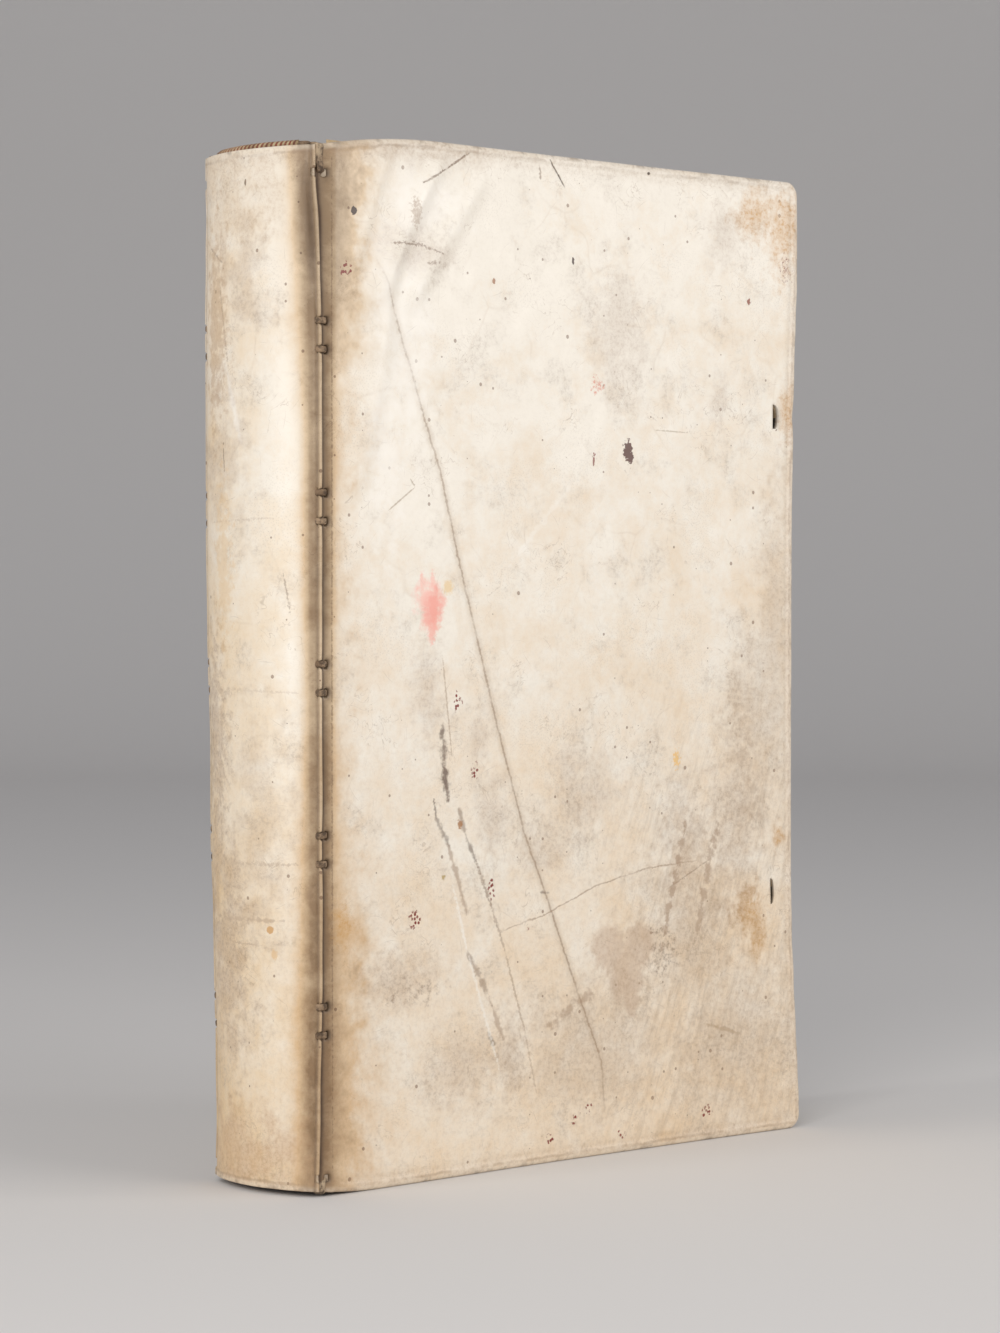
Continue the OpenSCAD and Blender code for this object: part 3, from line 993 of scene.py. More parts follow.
    def ground(self, g: Graph, x: Any, z: Any, cloud: Any, grain: Any) -> Any:
        """The ground tone: cream at the head, warmer and dirtier towards the tail.

        Args:
            g: The material's graph.
            x: Distance from the ridge in centimetres.
            z: Height in centimetres.
            cloud: The clouding group's node.
            grain: The grain group's node.

        Returns:
            The colour.
        """
        tone, grime = cloud.outputs["Tone"], cloud.outputs["Grime"]
        warm = g.fma(z, -0.0165, 0.46)
        warm = g.fma(g.most(x, 0.0), 0.0068, warm)
        warm = g.fma(g.sum("MINIMUM", x, 0.0), -self.side_warm, warm)
        warm = g.fma(g.less(tone, 0.5), 2.1, warm, clamp=True)
        base = g.mix(warm, colour(*self.cream), colour(*self.beige))
        base = g.paint(base, grain.outputs["Veins"], 0.12, (176, 148, 112))
        base = g.paint(base, grain.outputs["Pores"], 0.16, (150, 138, 124))
        low = g.step(z, 24.0, 8.0)
        base = g.mix(g.times(grime, g.fma(low, 0.08, 0.05)), base, colour(160, 136, 108))
        soil = g.times(cloud.outputs["Soil"], g.fma(grime, 0.7, 0.3))
        base = g.paint(base, soil, 0.42, (168, 150, 130))
        right = g.step(g.unsigned(x), self.rubbed_from, self.rubbed_from + 7.0)
        rub = g.times(g.times(right, g.step(z, 21.0, 12.0)), cloud.outputs["Streak"])
        base = g.paint(base, rub, 0.25, (150, 126, 100))
        base = g.paint(base, cloud.outputs["Wrinkle"], 0.34, (150, 124, 96))
        return g.paint(base, cloud.outputs["Speck"], 0.65, (124, 92, 68))

    def joint_tone_and_shade(self, g: Graph, base: Any, x: Any, z: Any, tone: Any, sway: Any) -> Any:
        """The brown tone beside the joint, partly aged skin and partly painted shade of the joint's valley,
        wider at head and tail.

        Args:
            g: The material's graph.
            base: The colour so far.
            x: Distance from the ridge in centimetres.
            z: Height in centimetres.
            tone: The cloudy tone.
            sway: Slow noise that its outer edge follows.

        Returns:
            The toned colour.
        """
        wander = g.times(sway, g.step(x, 0.5, 1.8, 0.0, 4.5))
        t = g.sum("DIVIDE", g.plus(g.plus(x, wander), 2.0), 6.0, clamp=True)
        tables = (self.mid_tone_and_shade, self.end_tone_and_shade)
        mid, end = (g.line(t, [((a + 2.0) / 6.0, b) for a, b in points]) for points in tables)
        ends = g.most(g.step(z, 25.5, 36.5), g.times(g.step(z, 17.0, 5.0), 0.68))
        level = g.fma(g.less(end, mid), ends, mid)
        level = g.times(level, g.fma(tone, 1.5, 0.25), clamp=True)
        ramp = g.put("ShaderNodeValToRGB", {0: level})
        ramp.color_ramp.elements[0].color = (1, 1, 1, 1)
        ramp.color_ramp.elements[1].color = (0.33, 0.24, 0.155, 1)
        middle = ramp.color_ramp.elements.new(0.5)
        middle.color = (0.79, 0.65, 0.49, 1)
        return g.mix(1.0, base, ramp.outputs[0], "MULTIPLY")

    def crease_line(self, g: Graph, crease: Crease, x: Any, z: Any, edges: dict[str, Any]) -> tuple[Any, Any]:
        """A long crease's line and the soft shade beside it.

        Args:
            g: The material's graph.
            crease: The crease.
            x: Distance from the ridge in centimetres.
            z: Height in centimetres.
            edges: The shared uneven edges.

        Returns:
            The line's mask and the shade's mask.
        """
        spans = crease.places
        tall = abs(spans[0][1] - spans[-1][1]) > abs(spans[0][0] - spans[-1][0])
        run = sorted((p[1], p[0]) if tall else p for p in spans)
        t0, t1 = run[0][0], run[-1][0]
        v0, v1 = min(v for _, v in run), max(v for _, v in run)
        t = g.sum("DIVIDE", g.less(z if tall else x, t0), t1 - t0)
        drawn = g.line(t, [((a - t0) / (t1 - t0), (b - v0) / (v1 - v0)) for a, b in run], steep=True)
        offset = g.fma(drawn, v1 - v0, v0)
        across = g.less(x if tall else z, offset)
        across = g.unsigned(g.fma(edges["mid"], 0.16, across))
        far = g.sum("DIVIDE", across, crease.width)
        far = g.fma(edges["fine"], 2.2, far)
        window = g.times(g.step(t, -0.01, 0.06), g.step(t, 1.01, 0.95))
        patchy = g.times(window, g.step(edges["wide"], -0.22, 0.06, 0.35, 1.0))
        line = g.times(g.step(far, 0.2, 1.1, 1.0, 0.0), patchy)
        return line, g.times(g.step(far, 0.6, 4.6, 1.0, 0.0), patchy)

    def wear(self, g: Graph, base: Any, laid: Any, cloud: Any) -> tuple[Any, Any]:
        """Spatter, rubbed folds, painted shade under the rolled edges, the grime and painted shade of the
        joint, and the painted shade of its holes and slits.

        Args:
            g: The material's graph.
            base: The colour so far.
            laid: The place on the skin.
            cloud: The clouding group's node.

        Returns:
            The worn colour, and how much grime and painted shade of the joint each place has.
        """
        soil, pit, inset, near = (g.stored(name) for name in ("soil", "pit", "inset", "fleck"))
        dots = g.step(g.cells(laid, 6.2)[0], 0.30, 0.42, 1.0, 0.0)
        fleck = g.step(g.times(near, g.cloud(laid, 3.6, 2.0)), 0.30, 0.42)
        base = g.paint(base, fleck, dots, (128, 46, 32))
        tone, grime = cloud.outputs["Tone"], cloud.outputs["Grime"]
        ragged = g.cloud(laid, 1.1, 3.0, 0.72)
        rubbed = g.times(g.step(inset, 2.8, 0.8), g.step(tone, 0.34, 0.52))
        base = g.paint(base, rubbed, 0.50, (240, 228, 208))
        uneven = g.fma(g.less(ragged, 0.5), 2.4, inset)
        # Painted shade: a dark line just below each rolled edge.
        lined = g.step(g.unsigned(g.less(uneven, 2.5)), 0.85, 0.1)
        lined = g.times(lined, g.step(tone, 0.40, 0.58))
        base = g.paint(base, lined, 0.34, (128, 104, 82))
        within = g.times(g.step(uneven, 9.0, 2.0), g.fma(grime, 0.6, 0.4))
        base = g.paint(base, within, 0.34, (170, 140, 108))
        # Darker patches on and under the rolled edges: edge grime, partly painted shade beneath the roll.
        under = g.times(g.step(inset, 2.4, 0.4), g.step(ragged, 0.50, 0.64))
        base = g.paint(base, under, 0.45, (120, 100, 80))
        # Grime and painted shade in the joint's groove, round the lacing and by the bead at the head.
        grime_and_groove_shade = g.times(soil, g.fma(ragged, 0.9, 0.5), clamp=True)
        base = g.mix(grime_and_groove_shade, base, colour(78, 56, 36))
        # Painted shade in the lacing holes, the notches at the ridge and down the slits' walls.
        return g.mix(pit, base, colour(20, 14, 9)), grime_and_groove_shade


class PaperKind(Enum):
    """How a paper surface of the book looks."""

    EDGES = "edges"
    LEAF = "leaf"
    PASTED = "pasted"
    BOARD = "board"


@dataclass(frozen=True)
class PaperFinish:
    """Rag paper or pasteboard, toned by age."""

    name: str
    kind: PaperKind
    light: Tint = (234, 222, 196)
    dark: Tint = (196, 172, 136)

    def made(self, fx: Effects) -> Material:
        """Builds the material.

        Args:
            fx: The shared groups.

        Returns:
            The material.
        """
        material, g, shader = fresh(self.name, 0.85)
        place = g.put("ShaderNodeTexCoord").outputs["Object"]
        x, _, z = g.split(place)
        fibres = g.use(fx.fibres, Place=place, Scale=1.0)
        base = g.mix(
            g.step(fibres.outputs["Tone"], 0.25, 0.78, 0.10, 0.34), colour(*self.light), colour(*self.dark),
        )
        base = g.paint(base, fibres.outputs["Fibre"], 0.16, (146, 118, 84))
        height = fibres.outputs["Fibre"]
        if self.kind is PaperKind.EDGES:
            leaves = g.cloud(g.turned(place, (6, 4200, 6)), 1.0, 3.0, 0.7)
            bunch = g.cloud(g.turned(place, (4, 420, 4)), 1.0, 3.0, 0.6)
            base = g.mix(g.step(leaves, 0.42, 0.66, 0.0, 0.55), base, colour(128, 102, 72))
            base = g.mix(g.step(bunch, 0.48, 0.70, 0.0, 0.45), base, colour(160, 132, 96))
            dusty = g.step(z, 0.3735, 0.3775, 0.0, 0.35)
            base = g.mix(dusty, base, colour(118, 100, 80))
            height = g.fma(leaves, 0.8, g.times(bunch, 0.8))
        elif self.kind is not PaperKind.BOARD:
            laid = g.sum("SINE", g.times(z, 2 * math.pi / 0.0011))
            chain = g.unsigned(g.sum("SINE", g.times(x, math.pi / 0.027)))
            base = g.mix(g.step(laid, 0.2, 1.0, 0.0, 0.07), base, colour(170, 142, 104))
            base = g.mix(g.step(chain, 0.06, 0.0, 0.0, 0.10), base, colour(170, 142, 104))
            base = g.paint(base, fibres.outputs["Foxing"], 0.45, (168, 118, 70))
            rim = g.most(g.step(z, 0.335, 0.384), g.step(z, 0.05, 0.0))
            rim = g.most(rim, g.step(x, 0.085, 0.132))
            rim = g.most(rim, g.step(x, -0.085, -0.12))
            rim = g.times(rim, g.step(g.cloud(place, 16.0, 4.0, 0.6), 0.30, 0.62))
            base = g.paint(base, rim, 0.50, (172, 138, 96))
            height = g.fma(laid, 0.12, height)
        g.coat(shader, base, height, 0.4, 0.0003)
        return material


@dataclass(frozen=True)
class FibreFinish:
    """Alum-tawed skin or sewing thread, with dirt where it is handled."""

    name: str
    light: Tint
    dark: Tint
    grime: Tint = (104, 84, 66)
    soiling: float = 0.5
    ply: float = 0.0

    def made(self, fx: Effects) -> Material:
        """Builds the material.

        Args:
            fx: The shared groups.

        Returns:
            The material.
        """
        material, g, shader = fresh(self.name, 0.78)
        place = g.put("ShaderNodeTexCoord").outputs["Object"]
        fibres = g.use(fx.fibres, Place=place, Scale=4.0)
        base = g.mix(g.step(fibres.outputs["Tone"], 0.35, 0.65), colour(*self.light), colour(*self.dark))
        dirty = g.step(g.cloud(place, 420.0, 4.0, 0.65), 0.42, 0.62, 0.0, self.soiling)
        base = g.mix(dirty, base, colour(*self.grime))
        height = fibres.outputs["Fibre"]
        if self.ply:
            turned = g.turned(place, turn=(0.6, 0.3, 0.5))
            wave = g.put(
                "ShaderNodeTexWave", {"Vector": turned, "Scale": self.ply, "Distortion": 1.5, "Detail": 1.0},
            )
            base = g.mix(g.step(wave.outputs[1], 0.3, 0.0, 0.0, 0.4), base, colour(*self.grime))
            height = g.plus(height, wave.outputs[1])
        g.coat(shader, base, height, 0.5, 0.0002)
        return material


# Marks, scrapes and creases are in centimetres along and up the skin. In millimetres on the front cover,
# spatter rows are (x, z, radius, slimness) and fold rows (x, z, x, z, width, height).
PINK, RUST, OCHRE, BROWN, SMUDGE, SHADE = (
    (248, 178, 162), (132, 56, 42), (200, 150, 80), (118, 84, 56), (166, 138, 112), (190, 160, 132),
)
DARK, PALE = (84, 56, 38), (250, 244, 234)
FRONT_MARKS = (
    Mark((5.30, 21.6), (0.64, 0.60), PINK, 0.72, 0.7, 0.50),
    Mark((5.40, 20.95), (0.44, 0.62), PINK, 0.72, 0.7, 0.45),
    Mark((5.46, 20.4), (0.20, 0.46), PINK, 0.7, 0.5, 0.4),
    Mark((4.95, 22.2), (0.11, 0.36), PINK, 0.6, 0.8, 0.5),
    Mark((5.50, 22.2), (0.12, 0.38), PINK, 0.6, 0.8, 0.5),
    Mark((5.55, 21.25), (0.36, 0.66), (243, 140, 122), 0.55, 0.9, 0.6),
    Mark((6.29, 22.02), (0.24, 0.26), (234, 204, 154), 0.8, 0.6, 0.4),
    Mark((16.0, 27.35), (0.24, 0.40), (94, 56, 46), 0.95, 0.7, 0.08),
    Mark((16.17, 27.1), (0.17, 0.24), (94, 56, 46), 0.95, 0.6, 0.08),
    Mark((14.12, 26.95), (0.06, 0.20), RUST, 0.85, 1.2, 0.15),
    Mark((14.3, 29.8), (0.28, 0.32), (216, 112, 80), 0.85, 1.6, 0.3, 1.0),
    Mark((1.58, 35.63), (0.15, 0.15), (62, 44, 34), 0.97, 0.4, 0.12),
    Mark((12.94, 34.53), (0.06, 0.13), (70, 46, 38), 0.95, 0.8, 0.12),
    Mark((22.89, 33.5), (0.09, 0.12), (140, 66, 36), 0.9, 1.0, 0.2),
    Mark((25.05, 34.9), (0.22, 0.34), (128, 62, 48), 0.85, 2.6, 0.1, 0.9),
    Mark((17.15, 38.2), (0.08, 0.06), (34, 24, 18), 0.95, 0.4, 0.2),
    Mark((8.69, 33.5), (0.09, 0.09), (160, 108, 72), 0.85, 0.8, 0.3),
    Mark((18.84, 15.26), (0.16, 0.30), (236, 190, 112), 0.8, 1.4, 0.3),
    Mark((6.94, 13.17), (0.13, 0.17), (168, 116, 66), 0.85, 0.8, 0.3),
    Mark((6.05, 11.24), (0.09, 0.10), (176, 148, 84), 0.8, 0.8, 0.3),
    Mark((4.7, 7.1), (0.8, 0.28), BROWN, 0.42, 2.6, 0.4, 0.8),
    Mark((18.0, 7.7), (0.7, 0.6), DARK, 0.42, 2.4, 0.5, 1.0),
    Mark((4.62, 35.74), (0.22, 0.45), SMUDGE, 0.65, 1.2, 0.5, 0.3),
)
FRONT_STAINS_AND_PAINTED_LIGHT = (
    # Painted sheen: pale patches near the joint at the head, where the crumpled skin catches the light.
    Stain(
        (
            (3.1, 33.2, 0.5, 2.4), (4.3, 31.0, 0.9, 3.4), (5.6, 36.2, 1.3, 0.8), (4.2, 36.0, 0.5, 1.2),
            (3.2, 27.0, 0.7, 3.0),
        ),
        PALE, 0.66, 2.2, 0.9, 0.2,
    ),
    Stain(
        ((14.9, 8.05, 0.95, 0.85), (16.6, 7.95, 0.9, 0.9), (15.9, 6.95, 0.95, 1.1), (16.2, 6.0, 0.4, 0.7)),
        SHADE, 0.62, 0.45, 0.30, 0.25,
    ),
    Stain((
        (23.3, 36.9, 1.0, 0.75), (24.9, 36.4, 0.8, 1.4), (24.7, 37.4, 0.9, 0.4), (23.1, 9.0, 0.8, 0.75),
        (23.6, 7.8, 0.4, 0.6), (25.35, 29.0, 0.45, 0.9), (25.0, 11.9, 0.3, 0.4), (0.95, 9.8, 0.4, 0.6),
    ), OCHRE, 0.86, 1.5, 0.85, 0.5),
    Stain((
        (9.5, 4.3, 0.75, 1.1), (11.3, 12.0, 1.3, 0.8), (12.5, 15.2, 0.6, 0.9), (7.96, 16.3, 0.5, 0.9),
        (5.3, 18.2, 0.6, 1.5), (21.4, 36.0, 0.8, 1.0), (15.5, 32.0, 1.3, 1.9), (21.3, 29.5, 0.42, 0.8),
        (3.8, 7.6, 1.7, 0.9), (22.3, 13.0, 1.1, 3.6), (4.6, 34.4, 1.5, 0.6), (13.6, 14.0, 1.6, 1.2),
        (8.6, 13.4, 0.7, 1.4), (19.2, 12.4, 0.9, 2.0), (7.0, 4.0, 1.6, 1.2),
    ), SMUDGE, 0.42, 1.5, 0.9, 0.45),
    # Darker brown patches towards the tail and along the fore-edge; the last spot is painted shade under the
    # rolled head edge.
    Stain(
        (
            (22.0, 3.9, 3.4, 2.9), (14.0, 4.2, 3.6, 2.2), (19.5, 8.6, 2.6, 3.2), (24.6, 20.0, 0.8, 5.0),
            (23.6, 16.6, 1.5, 3.6), (4.2, 38.3, 3.4, 0.7),
        ),
        (170, 142, 112), 0.46, 1.6, 0.9, 0.4,
    ),
)
FRONT_SCRAPES = (
    Scrape((7.44, 38.2), (6.3, 37.55), 0.05, BROWN, 0.75, 1.2, -0.9),
    Scrape((6.3, 37.55), (4.94, 36.87), 0.045, BROWN, 0.65, 1.2, -0.9),
    Scrape((11.7, 38.3), (12.5, 37.3), 0.05, (76, 58, 46), 0.9, 0.5, -0.8),
    Scrape((6.01, 16.85), (6.12, 15.3), 0.20, DARK, 0.72, 1.4),
    Scrape((6.10, 15.4), (6.29, 14.1), 0.17, DARK, 0.82, 1.4),
    Scrape((6.0, 19.5), (6.5, 15.7), 0.05, (170, 144, 118), 0.6, 1.0),
    Scrape((6.87, 13.75), (7.2, 12.8), 0.15, BROWN, 0.55, 1.4),
    Scrape((7.2, 12.8), (7.74, 11.8), 0.12, DARK, 0.60, 1.4),
    Scrape((7.74, 11.8), (8.62, 9.88), 0.09, BROWN, 0.55, 1.4),
    Scrape((8.62, 9.88), (9.28, 8.27), 0.08, BROWN, 0.42, 1.4),
    Scrape((9.28, 8.27), (10.4, 5.0), 0.07, (164, 136, 106), 0.55, 1.2),
    Scrape((10.4, 5.0), (11.0, 2.7), 0.06, (164, 136, 106), 0.42, 1.2),
    Scrape((5.58, 14.16), (5.7, 13.4), 0.07, DARK, 0.60, 1.2),
    Scrape((5.69, 13.5), (6.44, 12.3), 0.13, DARK, 0.55, 1.4),
    Scrape((6.3, 12.5), (7.3, 9.8), 0.13, SMUDGE, 0.60, 1.6),
    Scrape((7.35, 8.3), (8.51, 6.59), 0.17, BROWN, 0.50, 1.6),
    Scrape((8.4, 6.7), (9.3, 4.8), 0.14, SMUDGE, 0.55, 1.6),
    Scrape((8.44, 5.34), (8.73, 4.61), 0.14, DARK, 0.5, 1.4),
    Scrape((6.55, 10.94), (7.3, 8.4), 0.09, PALE, 0.55, 1.2),
    Scrape((7.3, 8.4), (9.06, 3.7), 0.09, PALE, 0.50, 1.2),
    Scrape((11.5, 5.2), (14.3, 6.5), 0.22, SMUDGE, 0.52, 1.6),
    Scrape((11.2, 10.4), (11.65, 10.35), 0.10, DARK, 0.6, 1.0),
    Scrape((17.9, 7.7), (19.4, 12.8), 0.16, SMUDGE, 0.62, 2.0),
    Scrape((19.9, 8.0), (21.3, 12.8), 0.20, SMUDGE, 0.55, 2.0),
    Scrape((18.2, 10.1), (20.8, 11.2), 0.04, BROWN, 0.42, 1.2),
    Scrape((20.32, 4.67), (22.4, 4.1), 0.11, (168, 140, 106), 0.55, 1.0),
    Scrape((11.15, 38.0), (11.2, 37.5), 0.07, BROWN, 0.6, 1.0),
    Scrape((3.4, 34.6), (5.15, 34.6), 0.06, BROWN, 0.62, 1.6),
    Scrape((4.3, 34.75), (6.0, 34.35), 0.05, BROWN, 0.55, 1.6),
    Scrape((5.1, 33.95), (5.8, 34.0), 0.05, BROWN, 0.5, 2.0),
    Scrape((3.25, 24.8), (4.61, 25.7), 0.045, (168, 148, 122), 0.7, 0.5),
    Scrape((4.61, 25.7), (4.36, 26.0), 0.045, (168, 148, 122), 0.7, 0.5),
    Scrape((0.54, 37.6), (0.53, 0.9), 0.03, (104, 80, 58), 0.50, 1.6),
    Scrape((12.9, 26.0), (9.5, 22.8), 0.16, PALE, 0.35, 1.4),
    Scrape((17.5, 28.2), (19.5, 28.15), 0.035, (176, 156, 130), 0.6, 0.8),
)
FRONT_CREASES = (
    Crease((
        (2.7, 34.0), (3.2, 33.0), (3.8, 31.5), (4.6, 29.5), (5.3, 27.7), (5.9, 26.3), (6.87, 23.0),
        (8.9, 16.7), (10.3, 12.8), (11.5, 10.3), (12.8, 7.4), (13.4, 6.06), (14.5, 3.7), (14.7, 1.4),
    ), 0.07, (142, 112, 84), 0.58, 0.34),
    Crease(
        ((8.95, 9.03), (11.5, 9.55), (14.3, 10.5), (17.1, 11.0), (20.1, 11.2)), 0.04, (158, 130, 102), 0.62,
    ),
)
FRONT_SPATTER = (
    (67.6, 177.6, 5.0, 0.55), (77, 151.7, 4.6, 0.55), (85.7, 106.7, 5.4, 0.5), (45.4, 97.4, 4.4, 0.8),
    (106.7, 90.4, 2.8, 0.6), (12, 335, 4.2, 0.8), (138, 19.1, 2.8, 1.0), (130.8, 15.8, 2.6, 1.0),
    (117, 9.6, 2.6, 1.0), (156, 7, 2.4, 1.0), (204, 11.8, 3.4, 1.0),
)
FRONT_FOLDS = (
    (22, 318, 62, 384, 3.2, 1.30), (12, 330, 34, 384, 2.8, 0.80), (40, 320, 84, 376, 3.6, 0.80),
    (14, 250, 36, 322, 4.4, 0.65), (26, 300, 40, 352, 2.4, 0.75), (60, 384, 48, 368, 2.2, -0.35),
    (33, 345.7, 51, 344, 2.0, 0.30), (30, 334, 95, 150, 3.2, -0.16), (95, 150, 148, 14, 3.2, -0.16),
    (62, 190, 100, 62, 3.4, 0.26), (57, 143, 95, 36, 3.0, -0.20), (150, 384, 200, 376, 8.0, -0.25),
)
SPINE_MARKS = (
    Mark((-2.2, 9.6), (0.16, 0.14), (206, 160, 104), 0.9, 0.3, 0.15),
    Mark((-2.0, 8.7), (0.14, 0.18), (220, 184, 136), 0.7, 0.5, 0.25),
    Mark((-3.3, 36.7), (0.05, 0.12), (110, 92, 76), 0.9, 0.3, 0.2),
    Mark((-5.3, 31.5), (0.7, 2.8), (190, 158, 122), 0.65, 1.8, 0.6, 0.3),
    Mark((-4.9, 9.0), (1.6, 3.6), SMUDGE, 0.60, 1.8, 0.6, 0.5),
    Mark((-4.7, 23.0), (0.5, 2.4), (226, 192, 142), 0.45, 1.4, 0.5),
    Mark((-4.0, 1.4), (3.0, 1.4), (190, 152, 114), 0.60, 1.6, 0.6, 0.4),
    Mark((-5.6, 16.5), (0.9, 3.0), SMUDGE, 0.62, 1.8, 0.6, 0.5),
    Mark((-2.6, 13.0), (1.2, 3.0), SMUDGE, 0.32, 1.8, 0.7, 0.4),
    Mark((-4.0, 36.2), (2.6, 1.6), (196, 168, 134), 0.42, 1.8, 0.6, 0.6),
    Mark((-3.3, 33.5), (1.0, 1.4), SMUDGE, 0.34, 2.0, 0.6, 0.4),
    Mark((-4.8, 26.5), (1.2, 2.0), SMUDGE, 0.34, 2.0, 0.6, 0.4),
)
SPINE_SCRAPES = (
    Scrape((-4.5, 30.2), (-3.5, 27.2), 0.20, PALE, 0.6, 0.8),
    Scrape((-5.8, 11.9), (-0.9, 12.0), 0.09, SMUDGE, 0.45, 1.8),
    Scrape((-5.9, 9.9), (-1.6, 9.95), 0.10, SMUDGE, 0.50, 1.8),
    Scrape((-5.9, 9.1), (-2.6, 9.0), 0.06, SMUDGE, 0.45, 1.8),
    Scrape((-5.9, 24.4), (-1.9, 24.5), 0.05, SMUDGE, 0.28, 2.2),
    Scrape((-4.9, 18.3), (-0.9, 18.2), 0.05, SMUDGE, 0.22, 2.2),
    Scrape((-4.7, 27.2), (-4.6, 26.2), 0.05, BROWN, 0.6, 1.0),
    Scrape((-5.0, 33.3), (-4.3, 30.0), 0.07, SMUDGE, 0.50, 1.6),
    Scrape((-5.9, 34.5), (-4.8, 33.9), 0.06, BROWN, 0.45, 1.6),
    Scrape((-1.5, 22.5), (-1.2, 21.0), 0.05, BROWN, 0.45, 1.6),
    Scrape((-5.4, 6.0), (-4.2, 5.8), 0.08, SMUDGE, 0.5, 1.6),
)


@dataclass
class CoverSkin:
    """The skin of one cover, from the ridge of its joint to the fore-edge."""

    side: Side
    finish: Material
    thickness: float = 0.5
    thin_r: float = 0.8
    full_r: float = 2.1
    fit_low: float = 20.0
    fit_high: float = 350.0

    def columns(self) -> list[float]:
        """Places of the grid's columns, close at the joint, slits and fore-edge."""
        joint = [
            0, 0.3, 0.65, 1.0, 1.35, 1.7, 2.1, 2.6, 3.1, 3.5, 3.9, 4.3, 4.7, 5.05, 5.35, 5.65, 5.95, 6.3, 6.8,
            7.5, 8.6, 10, 12,
        ]
        middle = [14.6 + 2.75 * k for k in range(82)]
        edge = [
            239.5, 241.3, 242.7, 243.6, 244.35, 244.95, 245.8, 247.0, 248.6, 250.2, 251.4, 252.3, 253.0,
            253.6, 254.2, 254.8, 255.35, 255.9,
        ]
        return merged([x for x in joint + middle if x < 238.5] + edge, 0.25)

    def rows(self) -> list[float]:
        """Heights of the grid's rows, close at the lacing, slits and edges."""
        steps = [self.full_r, 2.7, 3.3, 3.9, 4.6, 5.5, 7.0, 9.0]
        rows = steps + [SIZES.height - s for s in steps] + [11.6 + 2.75 * k for k in range(132)]
        for z in SIZES.stations:
            z = z if z < self.fit_high else self.fit_high + (z - self.fit_high) * 35 / 29
            rows += [z + d for d in (-3.2, -2.5, -2.05, -1.7, -1.3, -0.7, 0.0, 0.7, 1.3, 1.7, 2.05, 2.5, 3.2)]
        for z, _, _ in SIZES.slits:
            rows += [
                z + SIZES.slit_half * d
                for d in (-1.15, -1, -0.9, -0.75, -0.55, -0.3, 0, 0.3, 0.55, 0.75, 0.9, 1, 1.15)
            ]
        return merged([z for z in rows if self.full_r <= z <= SIZES.height - self.full_r], 0.38)

    @staticmethod
    def lacing(x: float, z: float) -> tuple[float, float, float]:
        """What the laced thongs do to the skin near a station.

        Args:
            x: Distance from the ridge, minus towards the spine.
            z: Height.

        Returns:
            How far the skin sinks, how dark it is made round the hole, and the painted shade of a hole.
        """
        sink = soil = pit = 0.0
        for station in SIZES.stations:
            dz = abs(z - station)
            if dz > 9:
                continue
            slot = soft((1.7 - dz) / 0.6) * soft((1.3 - abs(x + 0.1)) / 0.6)
            hole = soft((1.55 - dz) / 0.5) * soft((0.95 - abs(x - 3.5)) / 0.45)
            drawn = bump(dz / 3.6) * bump((x - 1.5) / 3.2)
            sink += 1.25 * slot + 2.2 * hole + 0.22 * drawn
            # Painted shade in the hole and in the notch at the ridge.
            pit = max(pit, 0.40 * slot, hole)
            soil = max(soil, 0.85 * bump(dz / 2.4) * bump((x - 3.6) / 1.7))
        return sink, soil, pit

    @classmethod
    def joint(cls, x: float, z: float) -> tuple[float, float, float]:
        """The joint's section: bead, steep wall, band and crease.

        Args:
            x: Distance from the ridge.
            z: Height.

        Returns:
            Depth from the middle of the book, the groove's darkening (painted shade with grime) and the
            painted shade of the holes.
        """
        low = soft((88 - z) / 50)
        high = soft((z - 325) / 40)
        deep = 1.45 - 0.65 * low - 0.25 * high
        bead = 0.50 - 0.25 * low - 0.15 * high + 0.22 * rough(0.3, z * 0.05)
        wall = soft((x - bead) / 1.0)
        lift = soft((x - 1.6) / 5.9)
        depth = 31.78 - deep * wall + (0.22 + deep) * lift
        depth += 0.10 * rough(x * 0.3, z * 0.12, 4.0) * soft(x / 1.5)
        # Painted shade of the dark crack right of the bead and of the groove's steep wall, with grime.
        soil = bump((x - bead - 0.95) / 0.85) * (1 - 0.30 * low)
        soil += 0.30 * wall * (1 - soft((x - 1.2) / 4.2))
        soil = max(soil, 0.20 * (1 - soft(x / 0.5)))
        sink, dirty, pit = cls.lacing(x, z)
        return depth - sink, max(soil, dirty), pit

    def cockle(self, x: float, z: float) -> float:
        """Soft unevenness of the skin over the board, outwards in millimetres."""
        seed = 0.0 if self.side is Side.FRONT else 40.0
        away = soft((x - 7) / 14)
        rise = 0.42 * rough(x * 0.014, z * 0.012, seed) + 0.16 * rough(x * 0.05, z * 0.04, seed + 3)
        rise += 0.07 * rough(x * 0.16, z * 0.11, seed + 9)
        if self.side is Side.FRONT:
            for x0, z0, x1, z1, wide, high in FRONT_FOLDS:
                run = Vector((x1 - x0, z1 - z0))
                t = min(max((Vector((x - x0, z - z0)) @ run) / run.length_squared, 0.0), 1.0)
                off = (Vector((x - x0, z - z0)) - run * t).length
                rise += high * bump(off / wide) * soft(min(t, 1 - t) * 5 + 0.15)
        return away * rise

    def rim_dip(self, inset: float) -> float:
        """The shallow crease a little inside a folded edge."""
        return -0.22 * bump((inset - 4.2) / 1.1) + 0.06 * bump((inset - 2.4) / 0.9)

    def edge_r(self, x: float) -> float:
        """Half of the folded edge's thickness: thin at the joint, full at the board."""
        return self.thin_r + (self.full_r - self.thin_r) * soft((x - 4.9) / 2.2)

    def inward(self, x: float) -> Vector:
        """Direction into the book at a place of the skin."""
        lean = 0.55 * (1 - soft(x / 2.6))
        return Vector((lean, -self.side.value * math.sqrt(1 - lean * lean), 0))

